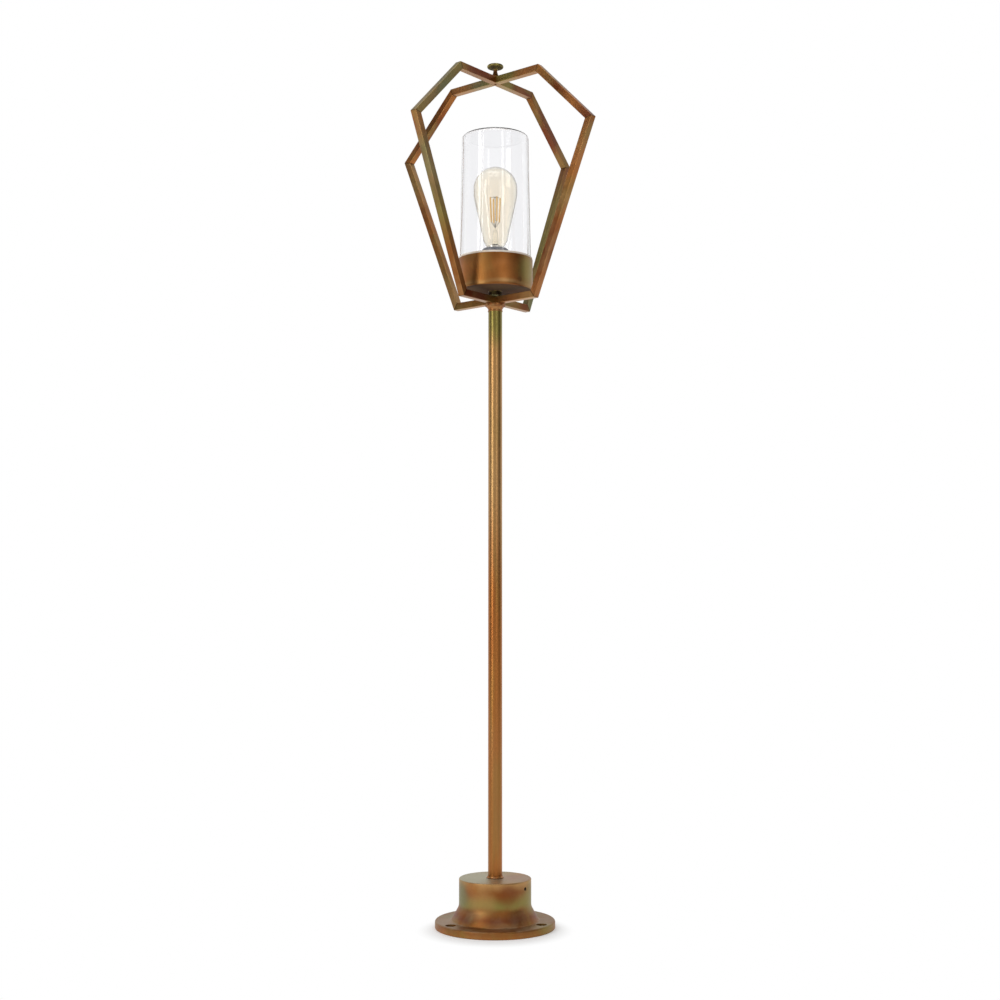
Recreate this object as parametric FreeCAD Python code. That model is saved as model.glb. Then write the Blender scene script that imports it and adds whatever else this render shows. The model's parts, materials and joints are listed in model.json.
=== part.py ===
import FreeCAD, Part
import math
import os

# Lantern floor lamp: a bolt-down turned brass base, a tube pole, an open cage of two crossed
# square-bar frames, and a cup that holds a glass jar over a filament bulb.
# The origin is the middle of the base's underside and +Z is up. Frame X stands in the XZ plane,
# frame Y in the YZ plane.

Vector = FreeCAD.Vector
up = Vector(0, 0, 1)

# --- fits ---
fit_gap = 0.05                # radial play of a piece that is screwed or pushed into its bore
seat_gap = 0.3                # play between the pieces that come off and what carries them

# --- cheese-head screws, as shares of the thread's radius ---
head_share = 1.8              # head radius
head_height_share = 1.2
head_round_share = 0.25
slot_share = 0.2              # half of the slot's width
tip_share = 0.3               # chamfer at the screw's end

# --- base ---
flange_radius = 84.4
flange_thickness = 10.3
flange_edge_round = 2.2
drum_radius = 50.75
base_height = 68.4
drum_edge_round = 1.6
flare_top = 29.8              # height where the cone-shaped flare would meet the straight drum
flare_round = 14.0            # long rounding between the flare and the drum
foot_radius = 61.8            # flare's foot on the flange
foot_round = 3.0
base_wall = 5.0
drill_room = 0.4              # depth of a blind screw hole beyond its screw
deck_thickness = 6.0

# --- fixing holes in the flange ---
fixing_hole_count = 3
fixing_hole_circle = 72.4     # radius of the hole circle
fixing_hole_radius = 4.5
fixing_sink_radius = 7.4      # counterbore for a cap head
fixing_sink_depth = 5.5
fixing_hole_angle = 12.0      # angle of the first hole from +X

# --- set screw in the drum's side ---
set_screw_radius = 2.5
set_screw_length = 8.0
set_screw_drop = 10.4         # below the base's top
set_screw_angle = 5.0
set_screw_recess = 0.6
set_screw_socket = 2.5        # across the flats
set_screw_chamfer = 0.3

# --- pole ---
pole_radius = 10.0
pole_wall = 1.5
pole_length_shown = 805.1     # from the base's top to the collar
foot_ring_radius = 12.25
foot_ring_height = 3.0
foot_ring_lip = 0.9           # straight height of the ring's edge
foot_ring_wall = 0.9          # ring's thickness at its thin upper end

# --- hub under the deck, which holds the pole's lower end ---
hub_thickness = 12.0
hub_screw_count = 3
hub_screw_radius = 2.5
hub_screw_circle = 32.0
hub_screw_grip = 4.0          # thread length in the deck
lock_nut_flats = 27.0
lock_nut_thickness = 5.0
pole_tail = 1.0               # pole left below the lock nut
bush_flange = 1.2
bush_spigot = 6.0
bush_edge_round = 0.5

# --- lead ---
lead_radius = 2.6
lead_tail = 6.0               # sheath left below the bush
core_radius = 0.95
core_spacing = 1.4            # core centres from the lead's axis
core_bend = 5.7
core_lead_in = 0.6            # straight length between the sheath's end and the bend
core_end_grip = 3.0           # core length inside its terminal
holder_core_rise = 4.5        # straight core above the sheath in the cup
holder_core_drop = 1.5        # straight core below its terminal

# --- terminals in the base ---
bracket_thickness = 1.5
bracket_width = 18.0
bracket_inner_edge = 18.0     # distance from the axis to the bracket's near and far edges
bracket_outer_edge = 40.0
bracket_margin = 0.8          # upright left below the terminal block
bracket_screw_radius = 2.0
block_depth = 14.0
block_width = 22.0
block_height = 16.0
block_room = 6.9              # from the cores' turn down to the block
block_pitch = 10.0
block_groove = 1.6            # groove between the two poles of the block
block_screw_shares = (0.22, 0.78)   # heights of the clamp screws within the block
sleeve_radius = 2.9
sleeve_bore = 1.7
sleeve_inset = 1.0            # sleeve's ends inside the block's ends
terminal_screw_radius = 1.3
earth_screw_radius = 2.0
earth_screw_place = 30.0      # distance from the axis
lug_radius = 4.4
lug_thickness = 0.8
lug_barrel_length = 6.0
lug_barrel_radius = 1.9
lug_barrel_floor = 0.5        # metal left above the core's hole

# --- collar ---
collar_lip_radius = 10.7
collar_lip_height = 1.8
collar_height = 11.4
collar_radius = 14.5
collar_rim = 3.4              # straight height of the collar's top
collar_spigot = 22.0
collar_edge_round = 0.6
collar_lip_round = 0.3
collar_sweep = 40.0           # degrees, sets how hollow the trumpet is

# --- cage ---
bar_size = 10.0
bar_edge_round = 0.7
cage_height = 325.4           # all cage sizes run along the bars' centre lines
shoulder_rise = 234.9
top_half_width = 80.4
shoulder_half_width = 170.7
bottom_half_width = 71.9

# --- nipple and cup ---
nipple_radius = 4.0
nipple_bore = 2.75
nipple_grip = 16.0            # thread length in the collar
spacer_radius = 10.85
spacer_waist = 9.6
spacer_lip = 1.8
spacer_lip_round = 0.4
spacer_taper = 0.6            # slope from the lip down to the waist
spacer_flare = 0.8            # widening under the cup
spacer_height = 8.2
cup_radius = 54.2
cup_wall = 2.0
cup_floor = 3.0
cup_height = 46.0
cup_foot_round = 1.6
cup_rim_round = 0.4
cup_inner_round = 1.0
gasket_height = 2.8
gasket_inset = 0.5            # gasket's outer edge inside the cup's outer edge
gasket_outer_round = 0.8
gasket_inner_round = 0.4
seat_ring_height = 2.0
seat_ring_width = 3.4
seat_ring_inset = 1.2         # ring's outer edge inside the cup's wall
cup_nut_flats = 13.0
cup_nut_thickness = 4.0
washer_thickness = 0.8
washer_share = 0.62           # washer's radius against the nut's width across the flats
washer_tongue = 3.6           # width of the tongue that takes the earth core
washer_reach = 0.4            # tongue's extra length beyond the core's bends
nipple_tail = 0.6
lead_head = 0.9               # sheath left above the nipple

# --- glass jar ---
glass_radius = 51.6
glass_wall = 2.5
glass_top_radius = 48.5
glass_height = 223.6
glass_straight = 46.0         # height of the jar's straight foot
glass_shoulder_round = 5.0
glass_mouth_round = 1.0
glass_travel_margin = 8.0     # room left under the cage's top at the jar's highest lift

# --- lampholder ---
holder_bracket_height = 19.9
holder_bracket_reach = 17.0
holder_bracket_width = 12.0
holder_bracket_foot = 8.0
holder_screw_radius = 1.7
holder_screw_place = 12.3
holder_screw_grip = 5.0
holder_radius = 18.2
holder_rim_radius = 19.0
holder_rim_height = 5.5
holder_foot_radius = 19.5
holder_foot_height = 6.0
holder_foot_slope = 1.6       # height of the slope above the foot
holder_foot_round = 0.8
holder_rim_slope = 1.0
holder_rim_round = 1.2
holder_mouth_round = 0.6
holder_height = 39.0
holder_back_radius = 10.2
holder_back_depth = 6.5
holder_floor = 3.5
shell_radius = 13.9
shell_wall = 0.4
shell_height = 25.0
shell_floor_bore = 10.0
contact_height = 4.7          # centre contact above the lampholder's floor
contact_radius = 4.0
contact_strip = 0.5           # sheet thickness
contact_post = 1.6            # radius of the contact's post, and half of its strip's width
shell_tab = 1.8               # half of the shell's tab width
terminal_radius = 2.6
terminal_height = 6.0
terminal_x = 4.6
terminal_y = 5.6
rivet_radius = 1.2

# --- bulb ---
bulb_radius = 32.0
bulb_length = 145.0
bulb_glass_wall = 0.9
bulb_shoulder_drop = 11.0     # straight height below the dome before the sides draw in
bulb_shoulder_round = 70.0
bulb_neck_radius = 17.5
bulb_neck_height = 36.0       # height of the neck's top above the contact's tip
bulb_neck_round = 6.0
neck_in_cap = 3.0
neck_above_cap = 0.6          # straight neck above the cap's edge
cap_radius = 13.1
cap_wall = 0.35
cap_height = 21.0
cap_draw_in = 1.4             # how far the cap's lower edge turns in
cap_shoulder = 2.0            # height of the slope at its lower edge
insulator_height = 4.2
insulator_radius = 11.1
insulator_edge = 0.8          # straight height of its upper edge
insulator_waist = 0.6         # how far its foot stands out past the contact
insulator_round = 1.0
bulb_contact_radius = 4.8
bulb_contact_height = 1.6
bulb_contact_edge = 0.6       # straight height of the contact's edge
bulb_contact_tip = 1.6        # radius of its flat tip
cap_pitch = 3.63              # rise of the bulb in one turn
bulb_turns = 4.0
stem_radius = 4.2
stem_height = 55.0            # top of the glass stem above the contact's tip
stem_hollow = 2.0             # height of the stem's closed floor above the neck's end
stem_wall = 1.0
stem_skirt_height = 7.0       # skirt that joins the stem to the neck
stem_skirt_edge = 1.4
stem_skirt_round = 4.0
stem_pinch_radius = 3.6
stem_pinch_drop = 6.0         # pinched part below the stem's top
stem_pinch_round = 3.0
stem_tip_radius = 1.3
stem_tip_height = 1.5
filament_radius = 1.1
filament_length = 35.8
filament_foot = 6.0           # distance of the filaments from the axis at their feet and tops
filament_top = 7.6
filament_count = 4
filament_angle = 59.0         # angle of the first filament from +X
filament_base_height = 64.5   # filaments' feet above the contact's tip
support_radius = 0.35
support_crown = 1.5           # top of the centre wire above the filaments
support_branch = 0.8          # foot of the lower wires above the stem

# --- finial ---
finial_disc_radius = 11.9
finial_disc_edge = 4.0
finial_edge_round = 1.9
finial_dome_radius = 10.0
finial_dome = 2.3
finial_foot_radius = 5.9
finial_foot_step = 1.2
finial_neck_radius = 2.9
finial_neck_height = 10.0
finial_neck_top = 12.2        # height above the crossing where the neck opens into the disc
finial_head_round = 2.2
finial_underside = 14.0       # height of the disc's lower edge above the crossing
stud_radius = 2.0
stud_grip = 8.6               # stud length in the crossing
stud_rise = 8.0               # stud length in the knob
finial_pitch = 0.7
finial_turns = 12.5

# --- heights that follow ---
pole_top = base_height + pole_length_shown
deck_underside = base_height - deck_thickness
hub_underside = deck_underside - hub_thickness
lock_nut_underside = hub_underside - lock_nut_thickness
pole_foot = lock_nut_underside - pole_tail
lead_foot = pole_foot - bush_flange - lead_tail
core_turn = lead_foot - core_lead_in - core_bend
block_foot = core_turn - block_room - block_height
bracket_foot = block_foot - bracket_margin
set_screw_height = base_height - set_screw_drop
cage_floor = pole_top + collar_height
bottom_centre = cage_floor + bar_size / 2
top_centre = bottom_centre + cage_height
cage_roof = top_centre + bar_size / 2
cup_underside = cage_floor + bar_size + spacer_height
cup_inside = cup_underside + cup_floor
cup_rim = cup_underside + cup_height
glass_foot = cup_inside + seat_ring_height + seat_gap
glass_top = glass_foot + glass_height
washer_top = cup_inside + bracket_thickness + washer_thickness
nipple_top = washer_top + cup_nut_thickness + nipple_tail
lead_top = nipple_top + lead_head
holder_foot = cup_inside + holder_bracket_height
holder_top = holder_foot + holder_height
holder_inside = holder_foot + holder_back_depth + holder_floor
bulb_foot = holder_inside + contact_height + seat_gap
bulb_top = bulb_foot + bulb_length
cap_foot = bulb_foot + bulb_contact_height + insulator_height + seat_gap
cap_top = cap_foot + cap_height
finial_foot = cage_roof + seat_gap
glass_lift = cage_roof - bar_size - glass_top - glass_travel_margin


def turned(corners):
    """Solid of revolution about the upright axis.

    A corner is (radius, height) or (radius, height, rounding). An arc is
    ("arc", via radius, via height, radius, height).
    """
    stations = []
    for corner in corners:
        if corner[0] == "arc":
            via = Vector(corner[1], 0, corner[2])
            stations.append((Vector(corner[3], 0, corner[4]), via, 0))
        else:
            rounding = corner[2] if len(corner) > 2 else 0
            stations.append((Vector(corner[0], 0, corner[1]), None, rounding))
    arrivals = []
    departures = []
    fillets = []
    for index, (point, via, rounding) in enumerate(stations):
        before = stations[index - 1][0]
        after = stations[(index + 1) % len(stations)][0]
        if not rounding:
            arrivals.append(point)
            departures.append(point)
            fillets.append(None)
            continue
        back = (before - point).normalize()
        on = (after - point).normalize()
        half = back.getAngle(on) / 2
        reach = rounding / math.tan(half)
        middle = point + (back + on).normalize() * (rounding / math.sin(half) - rounding)
        arrivals.append(point + back * reach)
        departures.append(point + on * reach)
        fillets.append(middle)
    edges = []
    for index, (point, via, rounding) in enumerate(stations):
        start = departures[index - 1]
        end = arrivals[index]
        if via is not None:
            edges.append(Part.Arc(start, via, end).toShape())
        elif start.distanceToPoint(end) > 1e-6:
            edges.append(Part.LineSegment(start, end).toShape())
        if fillets[index] is not None:
            edges.append(Part.Arc(end, fillets[index], departures[index]).toShape())
    face = Part.Face(Part.Wire(edges))
    return face.revolve(Vector(0, 0, 0), up, 360)


def cove(foot, top):
    """Middle point of the hollow arc that leaves foot and ends upright at top, both (radius, height)."""
    across = foot[0] - top[0]
    rise = top[1] - foot[1]
    radius = (across ** 2 + rise ** 2) / (2 * across)
    centre_across = top[0] + radius
    half_angle = math.asin(rise / radius) / 2
    return centre_across - radius * math.cos(half_angle), top[1] - radius * math.sin(half_angle)


def crown(radius, low, rise):
    """Middle point of the arc from (radius, low) to the axis, round a centre on the axis."""
    ball = (radius ** 2 + rise ** 2) / (2 * rise)
    half_angle = math.asin(radius / ball) / 2
    return ball * math.sin(half_angle), low + rise - ball + ball * math.cos(half_angle)


def tube(outer, inner, low, high):
    return turned([(inner, low), (outer, low), (outer, high), (inner, high)])


def rod(radius, low, high):
    return Part.makeCylinder(radius, high - low, Vector(0, 0, low), up)


def box(low, high):
    return Part.makeBox(high[0] - low[0], high[1] - low[1], high[2] - low[2], Vector(*low))


def around(radius, degrees, height=0.0):
    angle = math.radians(degrees)
    return Vector(radius * math.cos(angle), radius * math.sin(angle), height)


def turned_about_axis(shape, degrees):
    copy = shape.copy()
    copy.rotate(Vector(0, 0, 0), up, degrees)
    return copy


def stood(shape, place, direction):
    """The shape moved from the origin to place, with its +Z turned to direction."""
    copy = shape.copy()
    copy.Placement = FreeCAD.Placement(place, FreeCAD.Rotation(up, direction))
    return copy


def hex_prism(across_flats, low, high):
    corner = across_flats / math.sqrt(3)
    points = [around(corner, 60 * side, low) for side in range(7)]
    return Part.Face(Part.makePolygon(points)).extrude(up * (high - low))


def hex_nut(across_flats, bore, low, high):
    corner = across_flats / math.sqrt(3)
    chamfer = corner - across_flats / 2
    blank = turned([
        (0, low), (corner - chamfer, low), (corner, low + chamfer / 2),
        (corner, high - chamfer / 2), (corner - chamfer, high), (0, high)])
    return hex_prism(across_flats, low, high).common(blank).cut(rod(bore, low, high))


def headed_screw(radius, length):
    """Slotted cheese-head screw along +Z, with its head's seat at the origin."""
    head = head_share * radius
    head_height = head_height_share * radius
    tip = tip_share * radius
    body = turned([
        (0, -head_height), (head, -head_height, head_round_share * radius), (head, 0), (radius, 0),
        (radius, length - tip), (radius - tip, length), (0, length)])
    slot = slot_share * radius
    return body.cut(box((-head, -slot, -head_height), (head, slot, -0.6 * head_height)))


def bent_wire(points, radius, bend):
    """Round wire of straight runs joined by arcs that touch them."""
    edges = []
    start = points[0]
    for before, corner, after in zip(points, points[1:], points[2:]):
        into = (corner - before).normalize()
        out = (after - corner).normalize()
        half = into.getAngle(out) / 2
        reach = bend * math.tan(half)
        first = corner - into * reach
        last = corner + out * reach
        middle = corner + (out - into).normalize() * (bend / math.cos(half) - bend)
        edges.append(Part.LineSegment(start, first).toShape())
        edges.append(Part.Arc(first, middle, last).toShape())
        start = last
    edges.append(Part.LineSegment(start, points[-1]).toShape())
    path = Part.Wire(edges)
    section = Part.Wire(Part.makeCircle(radius, points[0], points[1] - points[0]))
    wire = path.makePipeShell([section], True, False)
    share = wire.Volume / (math.pi * radius ** 2 * path.Length)
    print("wire length %.1f, volume against section times length %.3f" % (path.Length, share))
    return wire


# --- base ---

def flange_holes():
    holes = []
    for number in range(fixing_hole_count):
        angle = fixing_hole_angle + 360.0 * number / fixing_hole_count
        hole = rod(fixing_hole_radius, 0, flange_thickness)
        sink = rod(fixing_sink_radius, flange_thickness - fixing_sink_depth, flange_thickness)
        for piece in (hole, sink):
            piece.translate(around(fixing_hole_circle, angle))
            holes.append(piece)
    return holes


def hub_screw_places():
    return [around(hub_screw_circle, 90 + 360.0 * number / hub_screw_count)
            for number in range(hub_screw_count)]


def base_bell():
    cavity_foot = foot_radius - base_wall
    cavity_drum = drum_radius - base_wall
    pole_bore = pole_radius + fit_gap
    bell = turned([
        (cavity_foot, 0),
        (flange_radius, 0, flange_edge_round / 2),
        (flange_radius, flange_thickness, flange_edge_round),
        (foot_radius, flange_thickness, foot_round),
        (drum_radius, flare_top, flare_round),
        (drum_radius, base_height, drum_edge_round),
        (pole_bore, base_height),
        (pole_bore, deck_underside),
        (cavity_drum, deck_underside),
        (cavity_drum, flare_top - base_wall, flare_round - base_wall),
        (cavity_foot, flange_thickness - base_wall)])
    bell = bell.cut(flange_holes())
    side_hole = Part.makeCylinder(
        set_screw_radius + fit_gap, 2 * base_wall,
        around(cavity_drum - base_wall / 2, set_screw_angle, set_screw_height),
        around(1, set_screw_angle))
    bell = bell.cut(side_hole)
    for place in hub_screw_places():
        thread = rod(hub_screw_radius + fit_gap, deck_underside, deck_underside + hub_screw_grip + drill_room)
        thread.translate(place)
        bell = bell.cut(thread)
    return bell


def base_set_screw():
    body = turned([
        (0, 0), (0.6 * set_screw_radius, 0), (set_screw_radius, 0.4 * set_screw_radius),
        (set_screw_radius, set_screw_length - set_screw_chamfer),
        (set_screw_radius - set_screw_chamfer, set_screw_length),
        (0, set_screw_length)])
    screw = body.cut(hex_prism(set_screw_socket, 0.6 * set_screw_length, set_screw_length))
    tip = drum_radius - set_screw_recess - set_screw_length
    return stood(screw, around(tip, set_screw_angle, set_screw_height), around(1, set_screw_angle))


def pole_hub():
    rim = drum_radius - base_wall - fit_gap
    hub = tube(rim, pole_radius + fit_gap, hub_underside, deck_underside)
    tip = drum_radius - set_screw_recess - set_screw_length
    dimple = Part.makeCylinder(
        set_screw_radius + fit_gap, rim,
        around(tip, set_screw_angle, set_screw_height), around(1, set_screw_angle))
    hub = hub.cut(dimple)
    for place in hub_screw_places():
        hub = hub.cut(Part.makeCylinder(hub_screw_radius + fit_gap, hub_thickness,
                                        place + up * hub_underside, up))
    threads = [(bracket_screw_radius, place) for place in bracket_screw_places()]
    threads.append((earth_screw_radius, Vector(earth_screw_place, 0, 0)))
    for radius, place in threads:
        hub = hub.cut(Part.makeCylinder(radius + fit_gap, hub_thickness / 2 + drill_room,
                                        place + up * hub_underside, up))
    return hub


def hub_screws():
    screw = headed_screw(hub_screw_radius, hub_thickness + hub_screw_grip)
    return Part.makeCompound([
        stood(screw, place + up * hub_underside, up) for place in hub_screw_places()])


def pole():
    return tube(pole_radius, pole_radius - pole_wall, pole_foot, pole_top)


def pole_lock_nut():
    return hex_nut(lock_nut_flats, pole_radius + fit_gap, lock_nut_underside, hub_underside)


def pole_end_bush():
    inner = lead_radius + fit_gap
    spigot = pole_radius - pole_wall - fit_gap
    return turned([
        (inner, pole_foot - bush_flange), (pole_radius, pole_foot - bush_flange, bush_edge_round),
        (pole_radius, pole_foot), (spigot, pole_foot), (spigot, pole_foot + bush_spigot),
        (inner, pole_foot + bush_spigot)])


def pole_foot_ring():
    inner = pole_radius + fit_gap
    top = base_height + foot_ring_height
    upper = inner + foot_ring_wall
    via = cove((foot_ring_radius, base_height + foot_ring_lip), (upper, top))
    return turned([
        (inner, base_height), (foot_ring_radius, base_height),
        (foot_ring_radius, base_height + foot_ring_lip),
        ("arc", *via, upper, top), (inner, top)])


# --- terminals in the base ---

def bracket_screw_places():
    span = bracket_outer_edge - bracket_inner_edge
    return [Vector(-bracket_inner_edge - share * span, 0, 0) for share in (0.25, 0.7)]


def terminal_bracket():
    half = bracket_width / 2
    under = hub_underside - bracket_thickness
    flat = box((-bracket_outer_edge, -half, under), (-bracket_inner_edge, half, hub_underside))
    upright = box((-bracket_outer_edge, -half, bracket_foot),
                  (-bracket_outer_edge + bracket_thickness, half, hub_underside))
    bracket = flat.fuse(upright).removeSplitter()
    for place in bracket_screw_places():
        bracket = bracket.cut(Part.makeCylinder(bracket_screw_radius + fit_gap, bracket_thickness,
                                                place + up * under, up))
    return bracket.cut(block_screw_bore())


def block_screw_bore():
    start = Vector(-bracket_outer_edge, 0, block_foot + block_height / 2)
    return Part.makeCylinder(terminal_screw_radius + fit_gap, block_depth + bracket_thickness, start,
                             Vector(1, 0, 0))


def bracket_screws():
    screw = headed_screw(bracket_screw_radius, bracket_thickness + hub_thickness / 2)
    under = hub_underside - bracket_thickness
    return Part.makeCompound([stood(screw, place + up * under, up) for place in bracket_screw_places()])


def block_places():
    middle = -bracket_outer_edge + bracket_thickness + block_depth / 2
    return [Vector(middle, side * block_pitch / 2, block_foot) for side in (-1, 1)]


def terminal_screw_heights():
    return [block_foot + share * block_height for share in block_screw_shares]


def terminal_block():
    low = -bracket_outer_edge + bracket_thickness
    block = box((low, -block_width / 2, block_foot),
                (low + block_depth, block_width / 2, block_foot + block_height))
    groove = box((low + 0.6 * block_depth, -block_groove / 2, block_foot),
                 (low + block_depth, block_groove / 2, block_foot + 0.25 * block_height))
    block = block.cut([groove, groove.translated(up * 0.75 * block_height), block_screw_bore()])
    for place in block_places():
        block = block.cut(Part.makeCylinder(sleeve_radius + fit_gap, block_height, place, up))
        for height in terminal_screw_heights():
            block = block.cut(Part.makeCylinder(
                head_share * terminal_screw_radius + fit_gap, block_depth / 2,
                Vector(place.x, place.y, height), Vector(1, 0, 0)))
    return block


def terminal_sleeves():
    sleeves = []
    for place in block_places():
        sleeve = tube(sleeve_radius, sleeve_bore, sleeve_inset, block_height - sleeve_inset)
        sleeve.translate(place)
        for height in terminal_screw_heights():
            sleeve = sleeve.cut(Part.makeCylinder(
                terminal_screw_radius + fit_gap, sleeve_radius + 1,
                Vector(place.x, place.y, height), Vector(1, 0, 0)))
        sleeves.append(sleeve)
    return Part.makeCompound(sleeves)


def terminal_screws():
    screw = headed_screw(terminal_screw_radius, sleeve_radius - core_radius)
    return Part.makeCompound([
        stood(screw, Vector(place.x + sleeve_radius, place.y, height), Vector(-1, 0, 0))
        for place in block_places() for height in terminal_screw_heights()])


def block_screw():
    screw = headed_screw(terminal_screw_radius, block_depth + bracket_thickness)
    seat = -bracket_outer_edge + bracket_thickness + block_depth
    return stood(screw, Vector(seat, 0, block_foot + block_height / 2), Vector(-1, 0, 0))


def earth_lug():
    under = hub_underside - lug_thickness
    plate = Part.makeCylinder(lug_radius, lug_thickness, Vector(earth_screw_place, 0, under), up)
    barrel_place = earth_screw_place - lug_radius - lug_barrel_radius
    barrel_foot = hub_underside - lug_barrel_length
    tongue = box((barrel_place, -lug_barrel_radius, under),
                 (earth_screw_place, lug_barrel_radius, hub_underside))
    barrel = Part.makeCylinder(lug_barrel_radius, lug_barrel_length,
                               Vector(barrel_place, 0, barrel_foot), up)
    lug = plate.fuse([tongue, barrel]).removeSplitter()
    hole_depth = lug_barrel_length - lug_thickness - lug_barrel_floor
    lug = lug.cut(Part.makeCylinder(core_radius + fit_gap, hole_depth,
                                    Vector(barrel_place, 0, barrel_foot), up))
    return lug.cut(Part.makeCylinder(earth_screw_radius + fit_gap, lug_thickness,
                                     Vector(earth_screw_place, 0, under), up))


def earth_screw():
    screw = headed_screw(earth_screw_radius, lug_thickness + hub_thickness / 2)
    return stood(screw, Vector(earth_screw_place, 0, hub_underside - lug_thickness), up)


# --- lead ---

def internal_lead():
    return rod(lead_radius, lead_foot, lead_top)


def base_cores():
    cores = []
    for place, side in zip(block_places(), (-1, 1)):
        start = around(core_spacing, side * 120, lead_foot)
        corner = Vector(start.x, start.y, core_turn)
        over = Vector(place.x, place.y, core_turn)
        end = Vector(place.x, place.y, block_foot + block_height - core_end_grip)
        cores.append(bent_wire([start, corner, over, end], core_radius, core_bend))
    barrel_place = earth_screw_place - lug_radius - lug_barrel_radius
    barrel_foot = hub_underside - lug_barrel_length
    start = around(core_spacing, 0, lead_foot)
    cores.append(bent_wire([
        start, Vector(start.x, 0, core_turn), Vector(barrel_place, 0, core_turn),
        Vector(barrel_place, 0, barrel_foot + core_end_grip)], core_radius, core_bend))
    return Part.makeCompound(cores)


def holder_cores():
    cores = []
    for side in (-1, 1):
        start = around(core_spacing, side * 60, lead_top)
        end = Vector(terminal_x, side * terminal_y, holder_foot + core_end_grip)
        low = Vector(start.x, start.y, start.z + holder_core_rise)
        high = Vector(end.x, end.y, holder_foot - holder_core_drop)
        cores.append(bent_wire([start, low, high, end], core_radius, core_bend))
    start = around(core_spacing, 180, lead_top)
    turn = lead_top + core_lead_in + core_bend
    tag = start.x - 2 * core_bend - washer_reach
    cores.append(bent_wire([
        start, Vector(start.x, 0, turn), Vector(tag, 0, turn), Vector(tag, 0, washer_top)],
        core_radius, core_bend))
    return Part.makeCompound(cores)


# --- collar and cage ---

def top_collar():
    lip_top = pole_top + collar_lip_height
    rim_foot = cage_floor - collar_rim
    spigot = pole_radius - pole_wall - fit_gap
    bore = nipple_radius + fit_gap
    nipple_foot = cage_floor - nipple_grip
    lead_way = lead_radius + 2 * fit_gap
    half_angle = math.radians(collar_sweep)
    trumpet = (collar_radius - (collar_radius - pole_radius) * math.cos(half_angle),
               lip_top + (rim_foot - lip_top) * math.sin(half_angle) * 0.78)
    return turned([
        (bore, nipple_foot), (bore, cage_floor), (collar_radius, cage_floor, collar_edge_round),
        (collar_radius, rim_foot), ("arc", *trumpet, pole_radius, lip_top),
        (collar_lip_radius, lip_top, collar_lip_round), (collar_lip_radius, pole_top, collar_lip_round),
        (spigot, pole_top), (spigot, pole_top - collar_spigot), (lead_way, pole_top - collar_spigot),
        (lead_way, nipple_foot)])


def frame_corners(offset):
    """Corners of a frame in its own plane, moved outward from the bars' centre lines by offset."""
    shoulder = bottom_centre + shoulder_rise
    centre_line = [
        Vector(top_half_width, 0, top_centre), Vector(-top_half_width, 0, top_centre),
        Vector(-shoulder_half_width, 0, shoulder), Vector(-bottom_half_width, 0, bottom_centre),
        Vector(bottom_half_width, 0, bottom_centre), Vector(shoulder_half_width, 0, shoulder)]
    corners = []
    for index, point in enumerate(centre_line):
        into = (point - centre_line[index - 1]).normalize()
        out = (centre_line[(index + 1) % 6] - point).normalize()
        into_normal = Vector(into.z, 0, -into.x)
        out_normal = Vector(out.z, 0, -out.x)
        share = offset / (1 + into_normal.dot(out_normal))
        corners.append(point - (into_normal + out_normal) * share)
    return corners


def frame_bars():
    """The six mitred bars of frame X, from the top bar round by the left side."""
    outer = frame_corners(bar_size / 2)
    inner = frame_corners(-bar_size / 2)
    thickness = Vector(0, bar_size, 0)
    bars = []
    for index in range(6):
        following = (index + 1) % 6
        points = [outer[index], outer[following], inner[following], inner[index], outer[index]]
        blank = Part.Face(Part.makePolygon([point - thickness / 2 for point in points])).extrude(thickness)
        along = (outer[following] - outer[index]).normalize()
        long_edges = [edge for edge in blank.Edges
                      if abs(edge.tangentAt(edge.FirstParameter).dot(along)) > 0.999]
        bars.append(blank.makeFillet(bar_edge_round, long_edges))
    return bars


bar_names = ["top_bar", "upper_bar_left", "lower_bar_left", "bottom_bar", "lower_bar_right",
             "upper_bar_right"]


def cage_parts():
    """Both frames, halved into each other where their top and bottom bars cross."""
    half = bar_size / 2
    top_bore = rod(stud_radius + fit_gap, top_centre - half, cage_roof)
    bottom_bore = rod(nipple_radius + fit_gap, cage_floor, cage_floor + bar_size)
    parts = {}
    for name, bar in zip(bar_names, frame_bars()):
        frame_x = bar
        frame_y = bar
        if name in ("top_bar", "bottom_bar"):
            centre = top_centre if name == "top_bar" else bottom_centre
            bore = top_bore if name == "top_bar" else bottom_bore
            lower = box((-half, -half, centre - half), (half, half, centre))
            upper = box((-half, -half, centre), (half, half, centre + half))
            frame_x = bar.cut([lower, bore])
            frame_y = bar.cut([upper, bore])
        parts["frame_x_" + name] = frame_x
        parts["frame_y_" + name] = turned_about_axis(frame_y, 90)
    return parts


# --- cup ---

def threaded_nipple():
    return tube(nipple_radius, nipple_bore, cage_floor - nipple_grip, nipple_top)


def cup_spacer():
    low = cage_floor + bar_size
    return turned([
        (nipple_radius + fit_gap, low), (spacer_radius, low, spacer_lip_round),
        (spacer_radius, low + spacer_lip), (spacer_waist, low + spacer_lip + spacer_taper),
        (spacer_waist, cup_underside - spacer_flare), (spacer_waist + spacer_flare, cup_underside),
        (nipple_radius + fit_gap, cup_underside)])


def cup():
    inner = cup_radius - cup_wall
    bore = nipple_radius + fit_gap
    return turned([
        (bore, cup_underside), (cup_radius, cup_underside, cup_foot_round),
        (cup_radius, cup_rim, cup_rim_round), (inner, cup_rim), (inner, cup_inside, cup_inner_round),
        (bore, cup_inside)])


def cup_gasket():
    outer = cup_radius - gasket_inset
    inner = glass_radius + seat_gap
    return turned([
        (inner, cup_rim), (outer, cup_rim), (outer, cup_rim + gasket_height, gasket_outer_round),
        (inner, cup_rim + gasket_height, gasket_inner_round)])


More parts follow.
